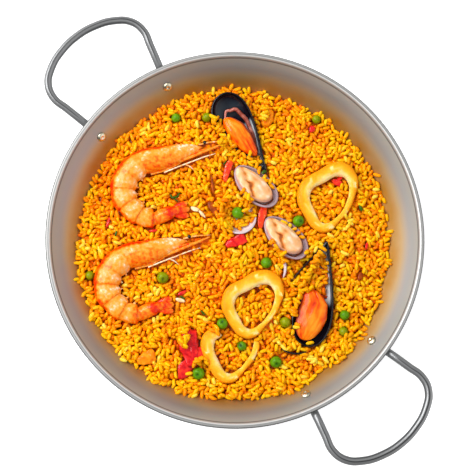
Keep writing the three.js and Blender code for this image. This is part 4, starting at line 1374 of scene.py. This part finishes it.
def build_pepper_and_fish():
    toppings = bpy.context.scene.paella_toppings
    red = moist_food(
        "cooked_red_pepper",
        [(0.0, "#98000c"), (0.25, "#d40c18"), (0.45, "#ee2c20"),
         (0.68, toppings.pepper), (1.0, "#ffb898")],
        "shade", spot_mm=3, spread=1.1, rough=0.22, coat=0.4, bump_mm=0.4, soft=0.15)
    stained = moist_food(
        "cooked_fish_stained_orange",
        [(0.0, "#d85400"), (0.5, "#fa8c00"), (1.0, "#ffb428")],
        spot_mm=3, spread=1.3, rough=0.5, coat=0.15, bump_mm=0.8, soft=0.15)
    for slot, pieces, skin in (("pepper", PEPPERS, red), ("fish", FISH, stained)):
        for i, piece in enumerate(pieces, 1):
            middle, _ = node_middle(f"{slot}_{i}")
            chunk = make_chunk(piece["size"], piece["bow"], piece["folds"], i + 11)
            mark(chunk, "shade", lambda p: piece.get("shade", 0.5))
            turn = Matrix.Rotation(radians(piece["turn"]) + SERVING_TURN, 4, "Z")
            settle(chunk, IN_FRAME, Matrix.Translation(middle) @ turn)
            hand_over(chunk, f"{slot}_piece_{i}", slot, [skin], f"{slot}_{i}")


# ---------------------------------------------------------------- crumbs and herbs

# Kind, place and rise over the rice, length, width, turn. They lie loose on the rice.
CRUMBS = (
    ("herb", -45.7, 31.5, 1.2, 6, 1.6, 10), ("herb", -43.2, 33.0, 1.4, 4.5, 1.3, 55),
    ("herb", -48.6, 32.4, 1.2, 4, 1.2, 125), ("herb", -45, 29.4, 1.3, 4.5, 1.2, -35),
    ("herb", 21.8, 51.2, 2.4, 4.5, 2.6, 40), ("herb", -90, 3.5, 1.2, 4, 1.6, 75),
    ("herb", -24, -56, 1.0, 4.5, 1.4, -50), ("herb", 96, 24, 1.2, 5, 2.2, 110),
    ("herb", -39.5, -44.5, 1.1, 4.5, 1.4, -30), ("herb", -8, 58, 1.2, 4, 1.2, 60),
    ("red", -39.9, -41.1, 1.2, 7, 2.4, 25), ("red", 59.6, 85.6, 1.2, 6, 4, 70),
    ("red", 79.9, 46.9, 1.0, 6, 2.6, 40), ("red", 100, -5, 1.0, 5, 2.4, 80),
    ("red", -96, 12, 1.0, 9, 2.2, 78), ("red", -62, 6, 0.8, 6, 2, 10),
    ("red", -28, -88, 2.2, 15, 8, 60), ("red", -37.5, -97.5, 2.4, 16, 10, 62),
    ("pale", -30.5, 22.4, 1.8, 8, 3.2, -20), ("pale", -25, 18.6, 1.6, 7, 2.6, -50),
    ("pale", -41, -46.5, 1.4, 7, 3, -15), ("pale", 8.9, 26.6, 2.6, 5, 1.8, -60),
    ("pale", 15.5, -34.5, 1.6, 7, 3.2, -10), ("pale", 6.4, 20.6, 2.4, 4, 1.4, 30),
    ("brown", -17.4, 40.5, 1.6, 15, 2.6, 95), ("brown", -15.3, 22, 2.2, 13, 7, -50),
    ("brown", 95, -28, 0.9, 8, 4, 70), ("brown", 2, 44, 1.0, 9, 2.4, 80),
)
CRUMB_THICKNESS = 1.3
CRUMB_ROLL = 8                              # degrees that two of three lie rolled, to either side
ON_GRAINS = 1.3                             # how far the tops of the grains stand over the rice's level


def build_crumbs():
    kinds = {
        "herb": ("pea", moist_food(
            "parsley_cooked_dark", [(0.0, "#0c2200"), (1.0, "#4c7c10")],
            spot_mm=2, spread=1.2, rough=0.5, coat=0.2)),
        "red": ("pepper", bpy.data.materials["cooked_red_pepper"]),
        "pale": ("clam_meat", moist_food(
            "seafood_flake_cream", [(0.0, "#e09a50"), (0.5, "#fbd8a0"), (1.0, "#fff4dc")],
            spot_mm=2, spread=1.2, rough=0.35, coat=0.4)),
        "brown": ("fish", moist_food(
            "fish_skin_browned", [(0.0, "#5e1e00"), (0.6, "#b04a04"), (1.0, "#e88414")],
            spot_mm=3, spread=1.4, rough=0.45, coat=0.15)),
    }
    heaps = {}
    for i, (kind, x, y, rise, long, wide, turn) in enumerate(CRUMBS):
        flake = ball(0.5, 14, 8)

        def tear(p, i=i):
            p += p.normalized() * 0.22 * wobble(p, 0.45, i)
            p.z += 0.35 * wobble(Vector((p.x, p.y, 0)), 0.6, i + 3)
            return p

        reshape(flake, tear)
        flake.scale = (long, wide, CRUMB_THICKNESS)
        roll = CRUMB_ROLL * (i % 3 - 1)
        settle(flake, pose(x, y, rice_level(x, y) + rise + ON_GRAINS, turn, roll))
        heaps.setdefault(kind, []).append(flake)
    for kind, flakes in heaps.items():
        slot, material = kinds[kind]
        obj = join(*flakes)
        mark(obj, "shade", lambda p: 0.36)
        settle(obj, IN_SERVING)
        hand_over(obj, f"crumbs_{kind}", slot, [material])


# ---------------------------------------------------------------- strewing the rice

PEA_SLOTS = ("pea", "olive_pea")
FOOD_SLOTS = ("prawn", "mussel_shell", "mussel_meat", "clam_shell", "clam_meat", "squid", *PEA_SLOTS,
              "pepper", "fish")
# Where grains lie on the toppings: middle, half length and half width, turn, how deep.
SPILLS = (
    (-9.5, 77.5, 19, 4.6, 121, 5.0),        # over a mussel's near rim
    (12, 61, 7, 3.5, 150, 3.0),             # and below its meat
    (46.4, -38.6, 20, 4.4, -101, 5.0),      # over the near rim of the other
    (58, -19, 21, 6.5, -104, 5.0),          # and in its hinge half
    (4.6, 31.4, 14, 3.4, -44, 5.5),         # along the lower edges of the clams
    (27.1, -7.8, 14, 3.4, -44, 5.5),
    (-0.5, 20, 11, 10, 0, 5.0),             # in the clam's lower valve and over its far rim
    (-9, 12, 8, 5, -50, 4.0),
    (-6, 28, 12, 7, 40, 5.0),
    (-26, -93, 6, 3.5, 30, 2.5),            # over parts of the large pepper
    (-38.5, -74, 7, 4, 95, 4.0),
    (21, 97, 6, 3, 80, 4.0),                # over a side of the fish by the wall
    (-12.5, -67.5, 5, 3.5, 40, 3.0),        # over the cut end of the part ring
)
# Where none lie on a topping: in the open half of a shell, along a thin rim and on the browned skin.
BARE = ((72, -45, 17, 4.4, -98), (-3, 96, 15, 9, 121), (0.5, 82, 13, 7, 121), (66, -70, 16, 9, -101),
        (55.8, -16.4, 21, 1.7, 48.4), (22.5, 56, 9, 1.7, 106), (-15.3, 22, 5, 2.6, -50),
        (-17.4, 40.5, 6, 1.5, 95))
TRIES = 15000                               # grains that are dropped over the whole bed
SPILL_TRIES = 2.2                           # and over a spill, for its half length times its half width
GRID_MARGIN = 10                            # cells at the grid's edge that no grain's middle lies on
GRAIN_SIZES = (0.76, 0.9, 1.0, 1.1)         # shares of the named grain length
LIES_FLAT = 0.025                           # how many millimetres each degree of pitch counts as
PLACES_TRIED = 3                            # for each grain of the bed, which takes the lowest of them
PLACES_APART = 3                            # how far they lie from where it is dropped, at most
PITCHES_TRIED = 6                           # at each place
# How high grains may lie over the rice's level, in millimetres: everywhere, in waves, more in those by
# the wall, and in rubble. Chance moves that limit for each grain, up or down, by as much as the last.
HEAP, WAVE, WAVE_BY_WALL, RUBBLE, RAGGED = 0.8, 1.2, 2.0, 2.2, 0.8
WAVE_SIZE, RUBBLE_SIZE = 15, 7
OVER_PEAS = 1.5                             # a pea that stands higher than this over the rice stays bare
BY_WALL = 0.8                               # share of the rice's radius at which its edge begins
EDGE_ROOM, DROP_ROOM = 14, 7                # how far outside that radius grains may lie, and are dropped
# How much higher the rice reaches up the wall, by direction in the serving, in millimetres.
RIM_CLIMB = ((0, 1.4), (30, 0.2), (130, -0.4), (150, -1.4), (175, 0.4), (200, 2.6), (255, 3.2),
             (310, 2.6), (335, 1.0), (360, 1.4))
STICK = 0.72                                # share of a grain that its neighbours keep clear of


def cell_places():
    line = cell_middle(np.arange(GRID))
    return np.meshgrid(line, line, indexing="ij")


def noise_map(size_mm, seed):
    """Smooth noise from about -1 to 1 over the grid, with lumps of a size."""
    step = CELL / size_mm
    return np.array([[noise.noise(Vector((i * step, j * step, seed))) for j in range(GRID)]
                     for i in range(GRID)])


def height_maps():
    """What rice falls on, and how high it may lie, over each cell."""
    rice = bpy.context.scene.paella_rice
    pan = bpy.context.scene.paella_pan
    x, y = cell_places()
    out = np.hypot(x, y)
    edge = rice_edge()
    level = level_at(x, y, out)
    wall = pan.sheet / MM + (out - pan.floor_radius / MM) / tan(pan.wall_lean)
    toppings = surface_heights([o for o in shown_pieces() if o.get("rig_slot") in FOOD_SLOTS])
    peas = surface_heights([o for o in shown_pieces() if o.get("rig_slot") in PEA_SLOTS]) > 0
    ground = np.maximum(np.maximum(level - rice.bed / MM, wall), toppings)
    waves, rubble = noise_map(WAVE_SIZE, 2.5), noise_map(RUBBLE_SIZE, 8.5)
    near_wall = np.clip((out / edge - BY_WALL) / 0.2, 0, 1)
    bearings, climbs = zip(*RIM_CLIMB)
    climb = np.interp(np.degrees(np.arctan2(y, x)) % 360, bearings, climbs)
    ceiling = (level + HEAP + waves * (WAVE + WAVE_BY_WALL * near_wall) + RUBBLE * rubble
               + climb * near_wall)

    def oval(mx, my, half_x, half_y, turn):
        a = radians(turn)
        u = ((x - mx) * cos(a) + (y - my) * sin(a)) / half_x
        v = (-(x - mx) * sin(a) + (y - my) * cos(a)) / half_y
        return u * u + v * v < 1

    for *place, depth in SPILLS:
        zone = oval(*place)
        ceiling[zone] = np.maximum(ceiling[zone], ground[zone] + depth)
    for place in BARE:
        ceiling[oval(*place) & (toppings > 0)] = -1
    ceiling[peas] = np.where(toppings[peas] > level[peas] + OVER_PEAS, level[peas], ceiling[peas])
    ceiling[out > edge + EDGE_ROOM] = -1
    return ground, ceiling


def drop_places(draw):
    """Where grains are dropped, and how many places near it each may choose from."""
    edge = rice_edge() + DROP_ROOM
    for _ in range(TRIES):
        out, turn = edge * math.sqrt(draw.random()), 2 * pi * draw.random()
        yield out * cos(turn), out * sin(turn), PLACES_TRIED
    for mx, my, half_x, half_y, turn, _ in SPILLS:
        a = radians(turn)
        for _ in range(int(half_x * half_y * SPILL_TRIES)):
            out, way = math.sqrt(draw.random()), 2 * pi * draw.random()
            u, v = half_x * out * cos(way), half_y * out * sin(way)
            yield mx + u * cos(a) - v * sin(a), my + u * sin(a) + v * cos(a), 1


def settle_grains():
    """Drops grains one by one, each into the lowest of its places, until the bed is full."""
    rice = bpy.context.scene.paella_rice
    draw = random.Random(rice.seed)
    ground, ceiling = height_maps()
    half_length, half_width = rice.grain_length / 2 / MM, rice.grain_width / 2 / MM
    tables = [grain_footprints(half_length * size * STICK, half_width * STICK) for size in GRAIN_SIZES]
    inner = range(GRID_MARGIN + 1, GRID - GRID_MARGIN)
    grains = []
    for at_x, at_y, choices in drop_places(draw):
        size = draw.randrange(len(tables))
        spread = PLACES_APART if choices > 1 else 0
        best, least = None, math.inf
        for _ in range(choices):
            i = int((at_x + draw.uniform(-spread, spread) + REACH) / CELL)
            j = int((at_y + draw.uniform(-spread, spread) + REACH) / CELL)
            yaw = draw.randrange(YAWS)
            if i not in inner or j not in inner:
                continue
            for pitch in draw.sample(PITCHES, PITCHES_TRIED):
                dx, dy, low, _ = tables[size][yaw, pitch]
                z = (ground[i + dx, j + dy] - low).max()
                if z + LIES_FLAT * abs(pitch) < least:
                    best, least = (z, i, j, yaw, pitch), z + LIES_FLAT * abs(pitch)
        if best is None:
            continue
        z, i, j, yaw, pitch = best
        if z > ceiling[i, j] + draw.uniform(-RAGGED, RAGGED):
            continue
        dx, dy, _, high = tables[size][yaw, pitch]
        ground[i + dx, j + dy] = np.maximum(ground[i + dx, j + dy], z + high)
        grains.append((cell_middle(i), cell_middle(j), z, pi * yaw / YAWS, radians(pitch),
                       GRAIN_SIZES[size], ceiling[i, j] - z, draw.random()))
    return grains


SWOLLEN = 0.35                              # 0 leaves a grain's ends pointed; more makes them rounder


def make_grain(bow, blunt):
    """One cooked grain, a few dozen faces, 2 units long: bowed, and blunt where it has broken."""
    grain = new_object(bpy.ops.mesh.primitive_uv_sphere_add, segments=6, ring_count=5, radius=1,
                       rotation=(0, pi / 2, 0))
    bpy.ops.object.transform_apply(location=True, rotation=True, scale=True)

    def cooked(p):
        swell = max(0.2, math.hypot(p.y, p.z)) ** -SWOLLEN
        return Vector((p.x if p.x < 0 else p.x * (1 - blunt),
                       p.y * swell * (1 + 0.1 * p.x) + bow * (1 - p.x ** 2), p.z * swell * 0.94))

    reshape(grain, cooked)
    return grain


# The bow and the bluntness of the kinds of grain.
GRAIN_KINDS = ((0.05, 0.0), (0.38, 0.0), (0.12, 0.35))
KIND_DRAW = 97                              # spreads a grain's random roll over the kinds


def joined_grains(name, prototypes, grains, material):
    """All grains of a shade as one mesh of copies."""
    rice = bpy.context.scene.paella_rice
    shapes = [np.array([v.co[:] for v in grain.data.vertices]) for grain in prototypes]
    faces = [tuple(f.vertices) for f in prototypes[0].data.polygons]
    all_points, all_faces, tints = [], [], []
    for x, y, z, yaw, pitch, size, tint, roll in grains:
        points = shapes[int(roll * KIND_DRAW) % len(shapes)]
        turn = Euler((roll * 2 * pi, 0, 0)).to_matrix()
        turn = Matrix.Rotation(yaw, 3, "Z") @ Matrix.Rotation(-pitch, 3, "Y") @ turn
        half = Vector((rice.grain_length / 2 * size, rice.grain_width / 2, rice.grain_width / 2)) / MM
        moved = (points * np.array(half)) @ np.array(turn).T + np.array((x, y, z))
        start = len(all_faces) // len(faces) * len(points)
        all_faces += [tuple(start + v for v in face) for face in faces]
        all_points.append(moved)
        tints += [tint] * len(points)
    mesh = bpy.data.meshes.new(name)
    mesh.from_pydata(np.concatenate(all_points).tolist(), [], all_faces)
    mesh.attributes.new("shade", "FLOAT", "POINT").data.foreach_set("value", tints)
    obj = bpy.data.objects.new(name, mesh)
    bpy.context.scene.collection.objects.link(obj)
    settle(obj, IN_SERVING)
    hand_over(obj, name, "rice", [material])


def build_core(material):
    """Thick stock and packed rice under the loose grains: a bowl-shaped body with a lumpy top."""
    rice = bpy.context.scene.paella_rice
    top = (rice.crown - rice.fall - rice.bed) / MM
    under = bowl_section(top, 0.6, 5)
    upper = [(wall_radius(top) * k / 60 - 0.8 * (k > 0), top) for k in range(60, -1, -1)]
    core = turned([*under, *upper], 140)

    def lump(p):
        if p.z > top - 0.01:
            lift = rice_level(p.x, p.y) - rice.bed / MM - top
            near = min(1.0, (wall_radius(top) - math.hypot(p.x, p.y)) / 6)
            p.z += near * (lift + 0.9 * wobble(p, 3.5, 1))
        return p

    reshape(core, lump)
    mark(core, "shade", lambda p: 0.5)
    settle(core, IN_SERVING)
    hand_over(core, "rice_core", "rice", [material], "rice", "rice_in_mussel_2", "rice_in_clam_1")


GOLDEN_OVER, ORANGE_OVER = 0.5, 0.26        # tints that part the grains' three meshes


def grain_tint(x, y, z, depth, roll):
    """From 0, stained, to 1, golden: by patches and flecks of the dish and by chance, and by painted
    shade, lighter the higher a grain lies and darker the deeper it lies.
    """
    patch = wobble(Vector((x, y, 0)), 16, 3)
    fleck = wobble(Vector((x, y, 0)), 7, 6)
    above = max(-2.5, min(1.2, z - rice_level(x, y)))
    tint = 0.64 + 0.2 * patch + 0.24 * fleck + 0.4 * (roll - 0.5)
    # Painted shade: grains that lie low, and deep under the height that grains may reach there, are
    # darker.
    return tint + 0.07 * above - 0.05 * max(0.0, depth)


def build_rice():
    rice = bpy.context.scene.paella_rice
    stock = moist_food(
        "saffron_stock_reduced",
        [(0.0, "#b43400"), (0.5, rice.stock), (1.0, "#fb9c10")],
        spot_mm=3, spread=1.4, rough=0.4, coat=0.15, bump_mm=0.5)
    grain = moist_food(
        "boiled_rice_saffron",
        [(0.0, "#c84000"), (0.2, "#ee7400"), (0.42, rice.orange), (0.66, rice.golden),
         (0.88, "#ffc408"), (1.0, "#ffdc50")],
        "shade", spot_mm=2.5, spread=0.3, rough=0.42, coat=0.06, soft=0.35)
    build_core(stock)
    prototypes = [make_grain(*kind) for kind in GRAIN_KINDS]
    kinds = {"golden": [], "orange": [], "stained": []}
    for x, y, z, yaw, pitch, size, depth, roll in settle_grains():
        tint = grain_tint(x, y, z, depth, roll)
        # The darkest grains are stained, and some are dark only from the painted shade of lying low.
        kind = "golden" if tint > GOLDEN_OVER else "orange" if tint > ORANGE_OVER else "stained"
        kinds[kind].append((x, y, z, yaw, pitch, size, clamp(tint), roll))
    for kind, grains in kinds.items():
        joined_grains(f"rice_grains_{kind}", prototypes, grains, grain)
    for prototype in prototypes:
        bpy.data.objects.remove(prototype)


# ---------------------------------------------------------------- the add-on

class PAELLA_OT_stage(bpy.types.Operator):
    """Adds the white floor, the studio lights and the camera"""
    bl_idname = "paella.stage"
    bl_label = "Stage"

    def execute(self, context):
        build_stage()
        return {"FINISHED"}


class PAELLA_OT_pan(bpy.types.Operator):
    """Spins the pan from its section"""
    bl_idname = "paella.pan"
    bl_label = "Pan"

    def execute(self, context):
        build_pan()
        return {"FINISHED"}


class PAELLA_OT_handles(bpy.types.Operator):
    """Bends the two wire handles and their pads"""
    bl_idname = "paella.handles"
    bl_label = "Handles"

    def execute(self, context):
        build_handles()
        return {"FINISHED"}


class PAELLA_OT_rivets(bpy.types.Operator):
    """Adds the four rivets"""
    bl_idname = "paella.rivets"
    bl_label = "Rivets"

    def execute(self, context):
        build_rivets()
        return {"FINISHED"}


class PAELLA_OT_prawns(bpy.types.Operator):
    """Models and curls the prawns"""
    bl_idname = "paella.prawns"
    bl_label = "Prawns"

    def execute(self, context):
        build_prawns()
        return {"FINISHED"}


class PAELLA_OT_mussels(bpy.types.Operator):
    """Models the opened mussels"""
    bl_idname = "paella.mussels"
    bl_label = "Mussels"

    def execute(self, context):
        build_mussels()
        return {"FINISHED"}


class PAELLA_OT_clams(bpy.types.Operator):
    """Models the opened clams and the buried rims of shells"""
    bl_idname = "paella.clams"
    bl_label = "Clams"

    def execute(self, context):
        build_clams()
        return {"FINISHED"}


class PAELLA_OT_squid(bpy.types.Operator):
    """Models the rings of squid"""
    bl_idname = "paella.squid"
    bl_label = "Squid rings"

    def execute(self, context):
        build_squid()
        return {"FINISHED"}


class PAELLA_OT_peas(bpy.types.Operator):
    """Adds the green and the olive peas"""
    bl_idname = "paella.peas"
    bl_label = "Peas"

    def execute(self, context):
        build_peas()
        return {"FINISHED"}


class PAELLA_OT_chunks(bpy.types.Operator):
    """Adds the pieces of red pepper and of fish"""
    bl_idname = "paella.chunks"
    bl_label = "Pepper and fish"

    def execute(self, context):
        build_pepper_and_fish()
        return {"FINISHED"}


class PAELLA_OT_crumbs(bpy.types.Operator):
    """Strews herbs, flecks of pepper and flakes of seafood"""
    bl_idname = "paella.crumbs"
    bl_label = "Crumbs and herbs"

    def execute(self, context):
        build_crumbs()
        return {"FINISHED"}


class PAELLA_OT_rice(bpy.types.Operator):
    """Strews the grains of rice over their core, round and over the toppings"""
    bl_idname = "paella.rice"
    bl_label = "Rice"

    def execute(self, context):
        build_rice()
        return {"FINISHED"}


OPERATORS = (
    PAELLA_OT_stage, PAELLA_OT_pan, PAELLA_OT_handles, PAELLA_OT_rivets, PAELLA_OT_prawns,
    PAELLA_OT_mussels, PAELLA_OT_clams, PAELLA_OT_squid, PAELLA_OT_peas, PAELLA_OT_chunks,
    PAELLA_OT_crumbs, PAELLA_OT_rice,
)
SETTINGS = {"paella_pan": PanSettings, "paella_rice": RiceSettings, "paella_toppings": ToppingSettings,
            "paella_stage": StageSettings}


class PAELLA_PT_panel(bpy.types.Panel):
    bl_idname = "PAELLA_PT_panel"
    bl_label = "Paella"
    bl_space_type = "VIEW_3D"
    bl_region_type = "UI"
    bl_category = "Paella"

    def draw(self, context):
        for group in SETTINGS:
            settings = getattr(context.scene, group)
            box = self.layout.box()
            for name in settings.__annotations__:
                box.prop(settings, name)
        for kind in OPERATORS:
            self.layout.operator(kind.bl_idname)


CLASSES = (*SETTINGS.values(), *OPERATORS, PAELLA_PT_panel)


def register():
    for kind in CLASSES:
        bpy.utils.register_class(kind)
    for name, kind in SETTINGS.items():
        setattr(bpy.types.Scene, name, bpy.props.PointerProperty(type=kind))


def unregister():
    for name in SETTINGS:
        delattr(bpy.types.Scene, name)
    for kind in reversed(CLASSES):
        bpy.utils.unregister_class(kind)


def main():
    register()
    for kind in OPERATORS:
        group, name = kind.bl_idname.split(".")
        getattr(getattr(bpy.ops, group), name)()
    boxes = {"cad": cad_box, "visual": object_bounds()}
    {name: [list(corner) for corner in box] for name, box in boxes.items()}


if __name__ == "__main__":
    main()
